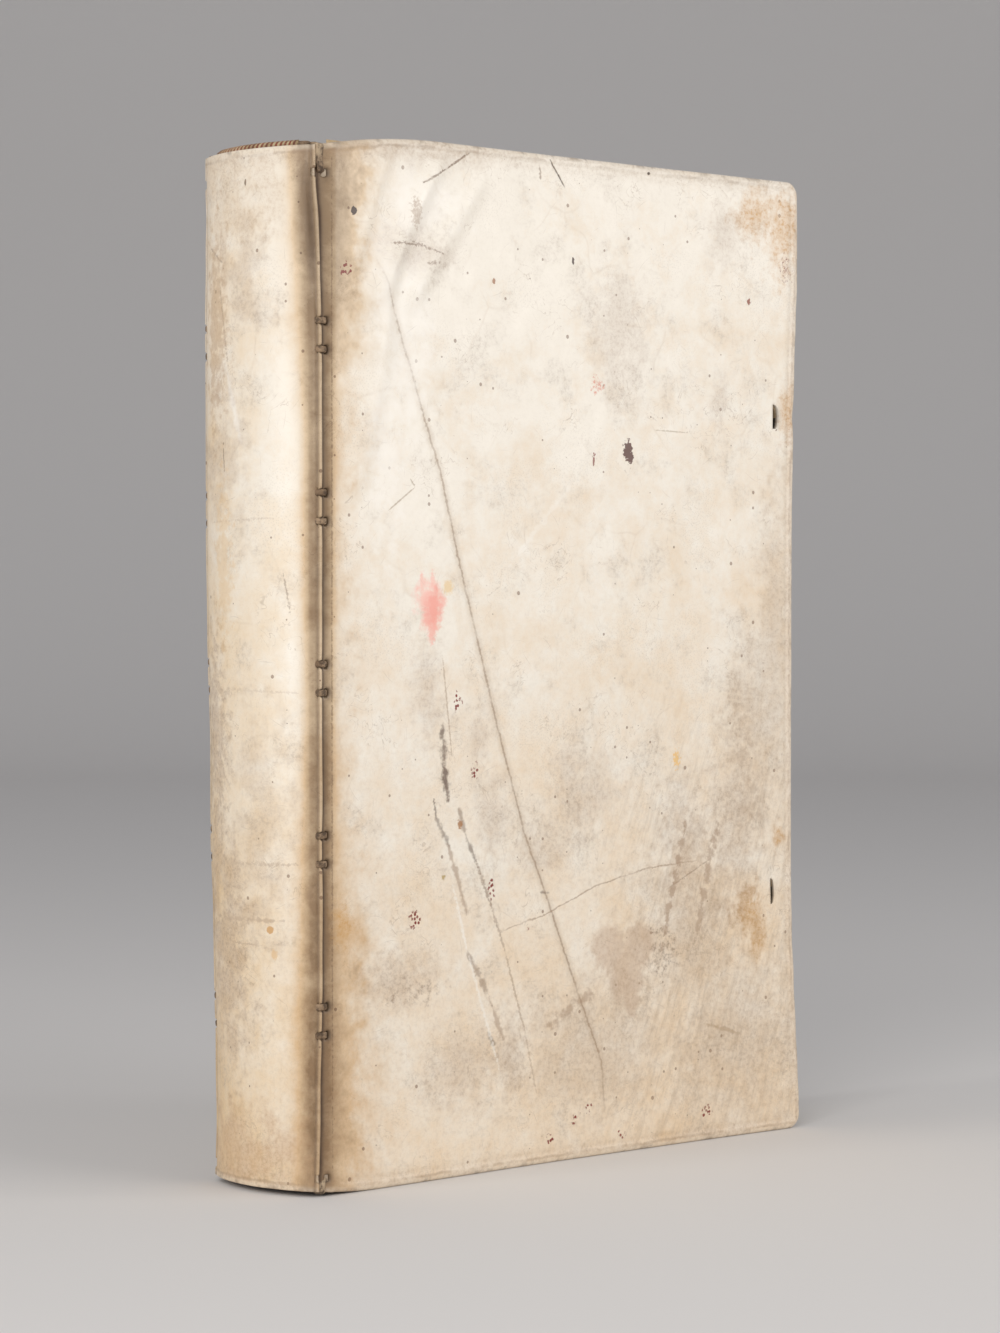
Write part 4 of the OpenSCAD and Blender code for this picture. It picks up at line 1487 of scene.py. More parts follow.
    def outline(self, x: float, z: float) -> Pair:
        """Fits a grid place between the curved head and tail edges.

        Args:
            x: Column.
            z: Row, for a straight cover.

        Returns:
            The place with its height fitted and its corner rounded.
        """
        head, tail, r = SIZES.head_at(x), SIZES.tail_at(x), self.edge_r(x)
        low, high = self.fit_low, self.fit_high
        if z < low:
            z = tail + r + (z - self.full_r) * (low - tail - r) / (low - self.full_r)
        elif z > high:
            z = high + (z - high) * (head - r - high) / (SIZES.height - self.full_r - high)
        span = SIZES.corner_r - self.full_r
        cx = SIZES.width - SIZES.corner_r
        for cz, way in ((SIZES.height - SIZES.corner_r, 1), (SIZES.corner_r, -1)):
            a, b = (x - cx) / span, (z - cz) * way / span
            if a > 0 and b > 0:
                x = cx + span * a * math.sqrt(1 - b * b / 2)
                z = cz + way * span * b * math.sqrt(1 - a * a / 2)
        return x, z

    def flat(self, x: float, z: float, layer: float = 0.0) -> Vector:
        """A place on the whole skin laid flat, in centimetres from the front ridge."""
        return Vector((x / 10 if self.side is Side.FRONT else -(SIZES.arc + x) / 10, z / 10, layer))

    def slit_shift(self, x: float, z: float) -> Pair:
        """How a tie slit's sprung lip spreads the skin.

        Args:
            x: Distance from the ridge.
            z: Height.

        Returns:
            The shift away from the spine and the lift outwards.
        """
        for middle, gape, spring in SIZES.slits:
            t = abs(z - middle) / SIZES.slit_half
            if t < 1.0 and x > SIZES.slit_x:
                bow = math.sqrt(max(1 - t**2.4, 0.0))
                fade = math.exp(-(x - SIZES.slit_x - 0.5) / 3.2)
                return (gape - 0.45) * bow * fade, spring * bow * math.exp(-(x - SIZES.slit_x - 0.5) / 1.6)
        return 0.0, 0.0

    def faces(self, grid: Grid) -> list[RimPlace]:
        """Places and marks every vertex of the grid.

        Args:
            grid: The skin's grid.

        Returns:
            The places of its edge, in the order that its vertices are numbered.
        """
        laid, inset, soil, pit, rim = grid.laid, grid.inset, grid.soil, grid.pit, grid.rim
        keep: list[RimPlace] = []
        nx, nz = len(grid.columns) - 1, len(grid.rows) - 1
        for (i, j), v in grid.at.items():
            x, z = self.outline(grid.columns[i], grid.rows[j])
            shift, lift = self.slit_shift(grid.columns[i], z)
            x2 = x + shift
            near = min(SIZES.width - x2, SIZES.head_at(x) - z, z - SIZES.tail_at(x))
            if x < 7.6:
                depth, v[soil], v[pit] = self.joint(x, z)
            else:
                depth = SIZES.face
            on_board = soft((x - 6) / 5)
            depth += self.cockle(x, z) + on_board * self.rim_dip(near) + lift
            if x > 252:
                for middle, _, _ in SIZES.slits[1:]:
                    x2 -= 0.9 * bump((z - middle) / 5) * soft((x - 252) / 4)
            v.co = (x2, self.side.value * depth, z)
            v[laid] = self.flat(x2, z)
            v[inset] = near if x > 3 else 9.0
            if self.side is Side.FRONT:
                for layer, tint_spots in zip(grid.stains_and_painted_light, FRONT_STAINS_AND_PAINTED_LIGHT):
                    v[layer] = tint_spots.far(v[laid])
                v[grid.fleck] = max(
                    soft(1.5 - math.hypot((x - a) / slim, z - b) / r) for a, b, r, slim in FRONT_SPATTER
                )
            if i == nx or j in (0, nz):
                r = self.edge_r(x)
                n = Vector((0, 0, 1 if j == nz else -1))
                cx = SIZES.width - SIZES.corner_r
                cz = SIZES.height - SIZES.corner_r if z > SIZES.middle else SIZES.corner_r
                if x > cx and abs(z - SIZES.height / 2) > SIZES.height / 2 - SIZES.corner_r:
                    n = Vector((x - cx, 0, z - cz)).normalized()
                elif i == nx:
                    n = Vector((1, 0, 0))
                v[rim] = len(keep)
                keep.append((v.co.copy(), n, r, self.inward(x)))
        return keep

    def slits(self, grid: Grid) -> list[list[bmesh.types.BMEdge]]:
        """Cuts the tie slits and gives their edges."""
        bm, nx = grid.bm, len(grid.columns) - 1
        slit_col = min(range(nx), key=lambda i: abs(grid.columns[i] - SIZES.slit_x))
        holes = []
        for middle, _, _ in SIZES.slits:
            reach = SIZES.slit_half + 0.05
            rows = [
                j for j, (low, high) in enumerate(zip(grid.rows, grid.rows[1:]))
                if low >= middle - reach and high <= middle + reach
            ]
            cut = [
                f for j in rows for f in grid.at[slit_col, j].link_faces
                if set(f.verts) == {grid.at[slit_col + a, j + b] for a in (0, 1) for b in (0, 1)}
            ]
            verts = {v for f in cut for v in f.verts}
            bmesh.ops.delete(bm, geom=cut, context="FACES_ONLY")
            holes.append([e for e in bm.edges if e.is_boundary and set(e.verts) <= verts])
        return holes

    def walled(self, grid: Grid, holes: list[list[bmesh.types.BMEdge]]) -> None:
        """Carries the slits' edges down into the board, with painted shade on their walls."""
        sign, pit = self.side.value, grid.pit
        for loop in holes:
            for deep, dark in ((0.35, 0.45), (1.6, 1.0), (4.0, 1.0)):
                def wall(v: Any, deep: float = deep, dark: float = dark) -> Vector:
                    """Carries a slit's lip into the board, with painted shade."""
                    v[pit] = dark
                    return Vector((v.co.x, sign * (SIZES.face - deep), v.co.z))
                loop = extruded(grid.bm, loop, wall)

    def folded(self, grid: Grid, edges: list[bmesh.types.BMEdge], keep: list[RimPlace]) -> None:
        """Rolls the edge over and carries it on as the turn-in.

        Args:
            grid: The skin's grid.
            edges: Its outline, without the joint.
            keep: The outline's places.
        """
        bm, sign = grid.bm, self.side.value
        laid, inset, rim = grid.laid, grid.inset, grid.rim
        arc: set[int] = {k for k, (_, n, _, _) in enumerate(keep) if 0.02 < abs(n.x) < 0.98}
        for a in FOLD_ANGLES:
            def roll(v: Any, a: float = a) -> Vector:
                """Places one vertex of the rounded edge."""
                p, n, r, q = keep[v[rim]]
                c, s = fold_round(a)
                v[inset] = r * (1 - c) - (0 if s > 0 else 1.5 * -s)
                v[laid] = self.flat(p.x, p.z) + Vector((-sign * n.x, n.z, 0)) * r * (1.6 - s) / 10
                thick = self.depth_in(p, r)
                return p + n * (r * c) + q * (thick / 2 * (1 - s))
            edges = extruded(bm, edges, roll)
        for f in (4.5, 7.0, 11.5, SIZES.turn_in_w):
            def flap(v: Any, f: float = f) -> Vector:
                """Places one vertex of the turned-in skin."""
                p, n, r, q = keep[v[rim]]
                v[inset] = -3.0
                lo_x, hi_x = 200.0, SIZES.width - SIZES.corner_r
                x, z = p.x, p.z
                if v[rim] in arc:
                    centre = max(SIZES.corner_r, f + 0.25)
                    x = SIZES.width - centre + n.x * (centre - f)
                    z = (SIZES.height - centre if z > SIZES.middle else centre) + n.z * (centre - f)
                elif abs(n.x) > 0.5:
                    x = SIZES.width - f
                    lo_z, hi_z = SIZES.corner_r, SIZES.height - SIZES.corner_r
                    half = (hi_z - lo_z) / 2
                    z = SIZES.height / 2 + (z - SIZES.height / 2) * (half - max(f - SIZES.corner_r, 0)) / half
                else:
                    if x > lo_x:
                        least = max(f + 0.25, SIZES.corner_r)
                        x = lo_x + (x - lo_x) * (SIZES.width - least - lo_x) / (hi_x - lo_x)
                    z = z + n.z * (r - f)
                v[laid] = self.flat(x, z, 0.7)
                return Vector((x, (p + q * self.depth_in(p, r)).y, z))
            edges = extruded(bm, edges, flap)
        tight = [
            f for f in bm.faces if len({v[rim] for v in f.verts} & arc) >= 2 and
            all(SIZES.width - v.co.x > 5.9 and abs(v.co.y) < 29 for v in f.verts)
        ]
        bmesh.ops.delete(bm, geom=tight, context="FACES")

    def built(self) -> Piece:
        """Builds the skin: face, folded edges, turn-ins and slits.

        Returns:
            The piece.
        """
        grid = Grid(self.columns(), self.rows())
        bm, sign = grid.bm, self.side.value
        keep = self.faces(grid)
        holes = self.slits(grid)
        edges = grid.border()
        self.walled(grid, holes)
        self.folded(grid, edges, keep)
        facing(bm, Vector((120, sign * SIZES.face, SIZES.middle)), Vector((0, sign, 0)))
        thickened(bm, self.thickness)
        settled(bm, self.side)
        piece = made_object(bm, f"{self.side.word}_cover_skin", self.finish, "parchment")
        start, end = (SIZES.row(x, sign * SIZES.face, SIZES.middle) for x in (1.2, 6.6))
        self.side.body
        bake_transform(piece)
        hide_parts(f"{self.side.word}_vellum")
        return piece

    def depth_in(self, p: Vector, r: float) -> float:
        """How far the inner side lies behind the outer one at the edge."""
        return 2 * r if r < 2.0 else abs(p.y) - SIZES.turn_in


@dataclass
class SpineSkin:
    """The skin over the round of the spine, between the two ridges."""

    finish: Material
    rows: Sequence[float]
    thickness: float = 0.5
    turn_in: float = 14.0

    def columns(self) -> list[float]:
        """Distances along the round from the front ridge to the back one."""
        near = [0, 0.3, 0.65, 1.0, 1.4, 1.9, 2.5, 3.2, 4.1, 5.2, 6.6, 8.2]
        middle = [10 + 2.14 * k for k in range(23)]
        return merged(near + [SIZES.arc - n for n in near] + middle, 0.25)

    def place(self, s: float, z: float) -> tuple[Vector, Vector, float, float]:
        """One place of the spine's skin.

        Args:
            s: Distance along the round from the front ridge.
            z: Height.

        Returns:
            The place, the direction inwards, the darkening beside the ridge (painted shade with grime) and
            the painted shade of the holes.
        """
        half = math.asin(SIZES.ridge / SIZES.spine_r)
        a = half * (1 - 2 * s / SIZES.arc)
        near = min(s, SIZES.arc - s)
        sign = -1.0 if s < SIZES.arc / 2 else 1.0
        out = Vector((-math.cos(a), -math.sin(a), 0))
        p = Vector((SIZES.spine_axis, 0, z)) + out * SIZES.spine_r
        crest = 1 - soft(near / 0.8)
        ridge_d = CoverSkin.joint(0.0, z)[0]
        sink, dirty, pit = CoverSkin.lacing(-near, z)
        sink0 = CoverSkin.lacing(0.0, z)[0]
        p += Vector((0, sign, 0)) * crest * (ridge_d + sink0 - SIZES.ridge)
        seam = Vector((0.55, -sign * math.sqrt(1 - 0.55**2), 0))
        inwards = (-out).lerp(seam, 1 - soft(near / 3.0)).normalized()
        level = Vector((0, -sign, 0))
        direct = level if near < 1e-6 else inwards.lerp(level, 1 - soft(near / 1.5))
        p += direct * (sink if near > 1e-6 else sink0)
        rise = -0.50 * bump((near - 1.3) / 0.65) + 0.14 * rough(s * 0.05, z * 0.02, 11)
        rise += 0.05 * rough(s * 0.2, z * 0.1, 5)
        rise += 0.18 * rough(s * 0.03, z * 0.008, 21)
        if s < 20:
            rise -= 0.95 * bump((s - 2.4) / 1.3) * bump((z - 352) / 13)
            rise += 0.38 * bump((s - 4.3) / 1.0) * bump((z - 357) / 12)
        rise -= 0.30 * bump((z - (379 - 8)) / 4) * soft((near - 5) / 10)
        p -= inwards * rise * soft(near / 0.6)
        # Darkening beside the ridge and by the bead at the head: painted shade of the valley, with grime.
        soil = max(dirty * 0.8, 0.62 * bump((near - 1.2) / 0.8), 0.20 * (1 - soft(near / 7)))
        if s < 20:
            soil = max(soil, 0.75 * bump((s - 2.6) / 2.4) * bump((z - 350) / 26))
        return p, inwards, soil * (0.6 if near < 0.3 else 1.0), pit

    def built(self) -> Piece:
        """Builds the spine's skin with its turned-in ends.

        Returns:
            The piece.
        """
        grid = Grid(self.columns(), self.rows)
        bm = grid.bm
        laid, inset, soil, pit, rim = grid.laid, grid.inset, grid.soil, grid.pit, grid.rim
        keep: list[tuple[Vector, float, Vector]] = []
        shape = CoverSkin(Side.FRONT, self.finish)
        fold_r = shape.thin_r
        nz = len(grid.rows) - 1
        for (i, j), v in grid.at.items():
            z = shape.outline(0.0, grid.rows[j])[1]
            s = grid.columns[i]
            p, q, v[soil], v[pit] = self.place(s, z)
            v.co = p
            v[laid] = Vector((-s / 10, z / 10, 0))
            v[inset] = min(SIZES.height - SIZES.head_fall - z, z - SIZES.tail_rise)
            if j in (0, nz):
                v[rim] = len(keep)
                keep.append((p, 1.0 if j else -1.0, q))
        across = [{grid.at[i, j] for i in range(len(grid.columns))} for j in (0, nz)]
        ends = [e for e in bm.edges if e.is_boundary and any(set(e.verts) <= line for line in across)]
        for a in FOLD_ANGLES:
            def roll(v: Any, a: float = a) -> Vector:
                """Places one vertex of the rounded end."""
                p, n, q = keep[v[rim]]
                c, s = fold_round(a)
                v[inset] = fold_r * (1 - c)
                v[laid] = Vector((v[laid].x, p.z / 10 + n * fold_r / 10 * (1.6 - s), 0))
                return p + Vector((0, 0, n * fold_r * c)) + q * (fold_r * (1 - s))
            ends = extruded(bm, ends, roll)
        for f in (4.0, 9.0, self.turn_in):
            def flap(v: Any, f: float = f) -> Vector:
                """Places one vertex of the turned-in skin."""
                p, n, q = keep[v[rim]]
                v[laid] = Vector((v[laid].x, (p.z - n * f) / 10, 0.7))
                return p + q * (2 * fold_r) + Vector((0, 0, n * (fold_r - f)))
            ends = extruded(bm, ends, flap)
        facing(bm, Vector((-9, 0, SIZES.middle)), Vector((-1, 0, 0)))
        thickened(bm, self.thickness)
        settled(bm)
        return carried(bm, "spine_skin", self.finish, "parchment", "book", "spine_vellum")


@dataclass
class Pastedown:
    """The sheet pasted inside a cover, and its hinge across the inner joint."""

    side: Side
    finish: Material
    thickness: float = 0.2

    def depth(self, x: float, z: float) -> float:
        """Depth of the sheet: over the turn-ins, down to the board, up over each slip."""
        edge = min(SIZES.width - x, z, SIZES.height - z)
        well = soft((edge - SIZES.turn_in_w + 0.4) / 1.4)
        depth = SIZES.paste_in + (0.75 - 0.12 * rough(x * 0.05, z * 0.05, 2)) * well
        for station in SIZES.stations:
            station = SIZES.pasted_at(station)
            wide = soft((2.7 - abs(z - station)) / 1.3)
            long = soft((SIZES.board_x + SIZES.slip_l + 1.2 - x) / 1.8)
            depth -= 0.72 * wide * long * well
        return depth + 0.05 * rough(x * 0.09, z * 0.07, 7)

    def built(self) -> Piece:
        """Builds the sheet.

        Returns:
            The piece.
        """
        sign = self.side.value
        lo, hi = SIZES.margin, SIZES.height - SIZES.margin
        far = SIZES.width - SIZES.margin
        columns = [6.45, 7.2, 8.5] + [11 + 3.4 * k for k in range(69)]
        columns += [28.6, 29.4, 30.2, 31.0, 32.0, 240.5, 241.3, 242.1, 242.9, 244.0, 247.0, far]
        rows = [lo] + [6.5 + 3.2 * k for k in range(117)]
        rows += [15, 15.6, 16.2, 16.9, 368.1, 368.8, 369.4, 370, hi]
        for station in SIZES.stations:
            z = SIZES.pasted_at(station)
            rows += [z + d for d in (-2.8, -2.3, -1.8, -1.3, 0, 1.3, 1.8, 2.3, 2.8)]
        grid = Grid(
            merged([x for x in columns if x <= far], 0.4), merged([z for z in rows if lo <= z <= hi], 0.4)
        )

        def place(x: float, z: float) -> Vector:
            """Lays the sheet over what is under it, a little unevenly between its two ends."""
            uneven = 0.25 * rough(x * 0.02, 3.0) if lo < z < hi else 0
            return Vector((x, sign * self.depth(x, z), z + uneven))

        grid.shape(place)
        bm = grid.bm
        bmesh.ops.recalc_face_normals(bm, faces=bm.faces)
        if bm.faces[0].normal.y * sign > 0:
            bmesh.ops.reverse_faces(bm, faces=bm.faces)
        thickened(bm, self.thickness)
        settled(bm, self.side)
        node = f"{self.side.word}_pastedown"
        piece = carried(bm, f"{node}_sheet", self.finish, "endpaper", self.side.body, node)
        self.hinge()
        return piece

    def hinge(self) -> None:
        """Builds the strip of the endpaper that crosses the inner joint."""
        sign = self.side.value
        rows = [9 + 3.1 * k for k in range(118)]
        grid = Grid([k / 14 for k in range(15)], [z for z in rows if z <= 374])

        def place(t: float, z: float) -> Vector:
            """Places the strip between the first leaf and the pastedown."""
            x = 4.7 + 3.6 * t
            depth = SIZES.text_half + 0.12 + (SIZES.paste_in - SIZES.text_half - 0.20) * soft(t)
            return Vector((x, sign * (depth + 0.02 * rough(t * 3, z * 0.1)), z))

        grid.shape(place)
        bm = grid.bm
        bmesh.ops.recalc_face_normals(bm, faces=bm.faces)
        thickened(bm, 0.08)
        settled(bm, self.side)
        piece = made_object(bm, f"{self.side.word}_endpaper_hinge", self.finish, "endpaper")
        start, end = (SIZES.row(x, sign * 27, SIZES.middle) for x in (5.0, 7.3))
        self.side.body
        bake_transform(piece)


@dataclass
class TextBlock:
    """The sewn leaves: sections folded at the back, a hollow fore-edge."""

    edges: Material
    leaf: Material
    leaves: int = 236
    hollow: float = 6.0
    fold_x: float = 5.15

    def built(self) -> Piece:
        """Builds the leaves as one block with the relief of its sections.

        Returns:
            The piece.
        """
        half = SIZES.text_half
        ys = [-half + 2 * half * k / self.leaves for k in range(self.leaves + 1)]
        xs = [-1.0, 0.0, 1.2, 2.4, 3.35, 4.3, self.fold_x]
        xs += [9 + 12.2 * k for k in range(20)] + [249.5, SIZES.text_fore]
        grid = Grid(xs, ys)
        fore_r = (half**2 + self.hollow**2) / (2 * self.hollow)

        def place(x: float, y: float) -> Vector:
            """Places one spot of the head edge."""
            group = math.floor((y + half) / SIZES.section)
            part = ((y + half) / SIZES.section) % 1.0
            fan = 1 + (SIZES.shoulder - half) / half * soft((self.fold_x - x) / 1.8)
            y2 = y * fan
            bow = self.hollow - fore_r + math.sqrt(max(fore_r**2 - y**2, 0.0))
            ragged = 0.30 * rough(y * 6.1, 0.3) + 0.35 * rough(group * 1.7, 4.4)
            if x > self.fold_x:
                x2 = x - (bow - ragged) * soft((x - 150) / 104) * (
                    1.0 if x == SIZES.text_fore else (x - 5) / 249
                )
            else:
                back = SIZES.spine_axis - math.sqrt((SIZES.text_back_r - 1.0) ** 2 - y2 * y2)
                back -= math.sqrt(max(1 - (2 * part - 1) ** 2, 0.0)) * 0.95
                x2 = back + (self.fold_x - back) * (x + 1.0) / (self.fold_x + 1.0)
            seam = bump((min(part, 1 - part)) / 0.09)
            z = SIZES.text_high + 0.16 * rough(y * 5.3, 8.0) + 0.22 * rough(
                group * 2.3, x * 0.004,
            ) - 0.30 * seam
            z += 0.18 * rough(x * 0.02, y * 0.05, 6)
            return Vector((x2, y2 + 0.10 * rough(x * 0.03, y * 0.3, 2), z))

        grid.shape(place)
        bm = grid.bm
        bmesh.ops.recalc_face_normals(bm, faces=bm.faces)
        if bm.faces[0].normal.z > 0:
            bmesh.ops.reverse_faces(bm, faces=bm.faces)
        made = bmesh.ops.extrude_face_region(bm, geom=bm.faces[:])["geom"]
        for v in made:
            if isinstance(v, bmesh.types.BMVert):
                v.co.z = SIZES.text_low + (SIZES.text_high - v.co.z)
        slices(bm, 2, SIZES.text_low, SIZES.text_high, 12)
        bmesh.ops.recalc_face_normals(bm, faces=bm.faces)
        settled(bm)
        piece = carried(bm, "leaves", self.edges, "pages", "book", "text_block")
        piece.data.materials.append(self.leaf)
        for face in piece.data.polygons:
            if abs(face.normal.y) > 0.9 and abs(face.center.y) > 0.020:
                face.material_index = 1
        return piece


@dataclass
class Thong:
    """One thong of a double support, laced out and in through both joints."""

    name: str
    z: float
    finish: Material
    half_w: float = 1.2
    half_t: float = 0.48
    curl: float = 0.12

    def half_path(self, sign: float) -> list[Vector]:
        """The thong's way from the middle of the back through one joint."""
        r = SIZES.text_back_r + 0.8
        arc = [
            Vector((SIZES.spine_axis - r * math.cos(a), sign * r * math.sin(a), self.z))
            for a in [math.asin(27.5 / r) * k / 14 for k in range(15)]
        ]
        tilt = 0.35 * rough(self.z, sign)
        corners = [
            arc[-1],
            Vector((-0.55, sign * 30.35, self.z)),
            Vector((0.55, sign * 31.25, self.z + tilt * 0.3)),
            Vector((2.45, sign * (31.15 + 0.2 * rough(self.z, 2.0)), self.z + tilt)),
            Vector((3.30, sign * 30.4, self.z + tilt)),
            Vector((3.45, sign * 28.9, self.z)),
        ]
        return arc[:-1] + rounded(corners, 0.6, 0.4)

    def built(self) -> Piece:
        """Builds the thong.

        Returns:
            The piece.
        """
        bm = bmesh.new()
        path = self.half_path(-1.0)[::-1] + self.half_path(1.0)[1:]
        swept(bm, path, Vector((0, 0, 1)), self.half_w, self.half_t, sides=14, curl=self.curl)
        bmesh.ops.recalc_face_normals(bm, faces=bm.faces)
        settled(bm)
        return carried(bm, f"{self.name}_strip", self.finish, "tawed_skin", "book", self.name)


@dataclass
class Endband:
    """An endband: core, wound threads in two colours and laced slips."""

    end: End
    core_finish: Material
    plain_finish: Material
    red_finish: Material
    core_r: float = 1.9
    band_r: float = 55.08
    angle: float = 26.8
    pitch: float = 0.53

    @property
    def height(self) -> float:
        """Height of the core's middle."""
        return 379.0 if self.end is End.HEAD else 3.5

    def spot(self, a: float) -> Vector:
        """A place on the core's middle line, at an angle from the spine's axis."""
        return Vector((SIZES.spine_axis - self.band_r * math.cos(a), self.band_r * math.sin(a), self.height))

    def core(self) -> Piece:
        """Builds the core and its two laced slips."""
        bm = bmesh.new()
        reach = math.radians(self.angle)
        swept(
            bm, [self.spot(reach * (k / 20 - 1)) for k in range(41)], Vector((0, 0, 1)), self.core_r,
            self.core_r, sides=14
        )
        up = self.end.value
        over = SIZES.head_at(0) + 0.35 if up > 0 else SIZES.tail_at(0) - 0.5
        hole = SIZES.head_hole if up > 0 else SIZES.tail_hole + 0.6
        start = self.spot(reach)
        for sign in (-1.0, 1.0):
            corners = [
                Vector((start.x, sign * start.y, start.z)),
                Vector((1.6, sign * 28.4, over)),
                Vector((1.9, sign * 31.0, over - up * 0.1)),
                Vector((1.5, sign * 31.1, (over + hole) / 2)),
                Vector((2.2, sign * 30.9, hole + up * 1.2)),
                Vector((3.5, sign * 28.6, hole - up * 0.2)),
            ]
            swept(
                bm, rounded(corners, 0.9, 0.5), Vector((1, 0, 0)), 1.15, 0.55, sides=12, curl=0.2,
                twist=0.7 * sign,
            )
        bmesh.ops.recalc_face_normals(bm, faces=bm.faces)
        settled(bm)
        node = f"{self.end.word}band_core"
        return carried(bm, f"{node}_and_slips", self.core_finish, "tawed_skin", "book", node)

    def threads(self, red: bool) -> Piece:
        """Builds the turns of one colour, two turns to a stripe.

        Args:
            red: Whether the red-brown turns are built, or the plain ones.

        Returns:
            The piece.
        """
        bm = bmesh.new()
        reach = math.radians(self.angle) - 3.4 / self.band_r
        count = int(2 * reach * self.band_r / self.pitch)
        for k in range(count):
            if (k // 2) % 2 != int(red):
                continue
            a = reach * (2 * k / (count - 1) - 1)
            middle = self.spot(a)
            out = Vector((-math.cos(a), math.sin(a), 0))
            tangent = Vector((math.sin(a), math.cos(a), 0)) + Vector((0, 0, 0.10))
            radius = self.core_r + 0.22 + 0.04 * rough(k * 1.3, 2.2)
            ring = bmesh.ops.create_circle(
                bm, cap_ends=False, segments=6, radius=self.pitch * 0.56,
                matrix=Matrix.Translation(middle + out * radius) @ Matrix(
                    (out, tangent.normalized(), Vector((0, 0, 1)))
                ).transposed().to_4x4(),
            )["verts"]
            edges = list({e for v in ring for e in v.link_edges})
            bmesh.ops.spin(
                bm, geom=edges, cent=middle, axis=tangent.normalized(), angle=2 * math.pi, steps=14,
                use_merge=True,
            )
        bmesh.ops.remove_doubles(bm, verts=bm.verts, dist=0.001)
        bmesh.ops.recalc_face_normals(bm, faces=bm.faces)
        settled(bm)
        word, finish = ("red", self.red_finish) if red else ("plain", self.plain_finish)
        band = f"{self.end.word}band_{word}"
        return carried(bm, f"{band}_turns", finish, f"{word}_thread", "book", f"{band}_thread")

    def built(self) -> list[Piece]:
        """Builds the core, its slips and both colours of thread."""
        return [self.core(), self.threads(False), self.threads(True)]


@dataclass
class CarriedPiece:
    """A solid of the frame that is right in shape, settled with the book."""

    node: str
    finish: Material
    slot: str
    body: str
    cover: Side | None = None
    levels: int = 24

    def built(self) -> Piece:
        """Copies the solid's mesh, cuts it at even heights and settles it.

        Returns:
            The piece.
        """
        bm = bmesh.new()
        bm.from_mesh(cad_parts[self.node].data)
        bmesh.ops.remove_doubles(bm, verts=bm.verts, dist=1e-6)
        low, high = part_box(self.node)
        slices(bm, 2, low.z, high.z, self.levels)
        if self.cover is not None and high.x - low.x > 0.1:
            slices(bm, 0, low.x, high.x, 14)
        for v in bm.verts:
            p = Vector((v.co.x / MM + SIZES.centre_shift, v.co.y / MM, v.co.z / MM))
            v.co = SIZES.row(*SETTLING.moved(p, self.cover))
        piece = carried(bm, f"{self.node}_settled", self.finish, self.slot, self.body, self.node)
        piece.data.shade_flat()
        return piece


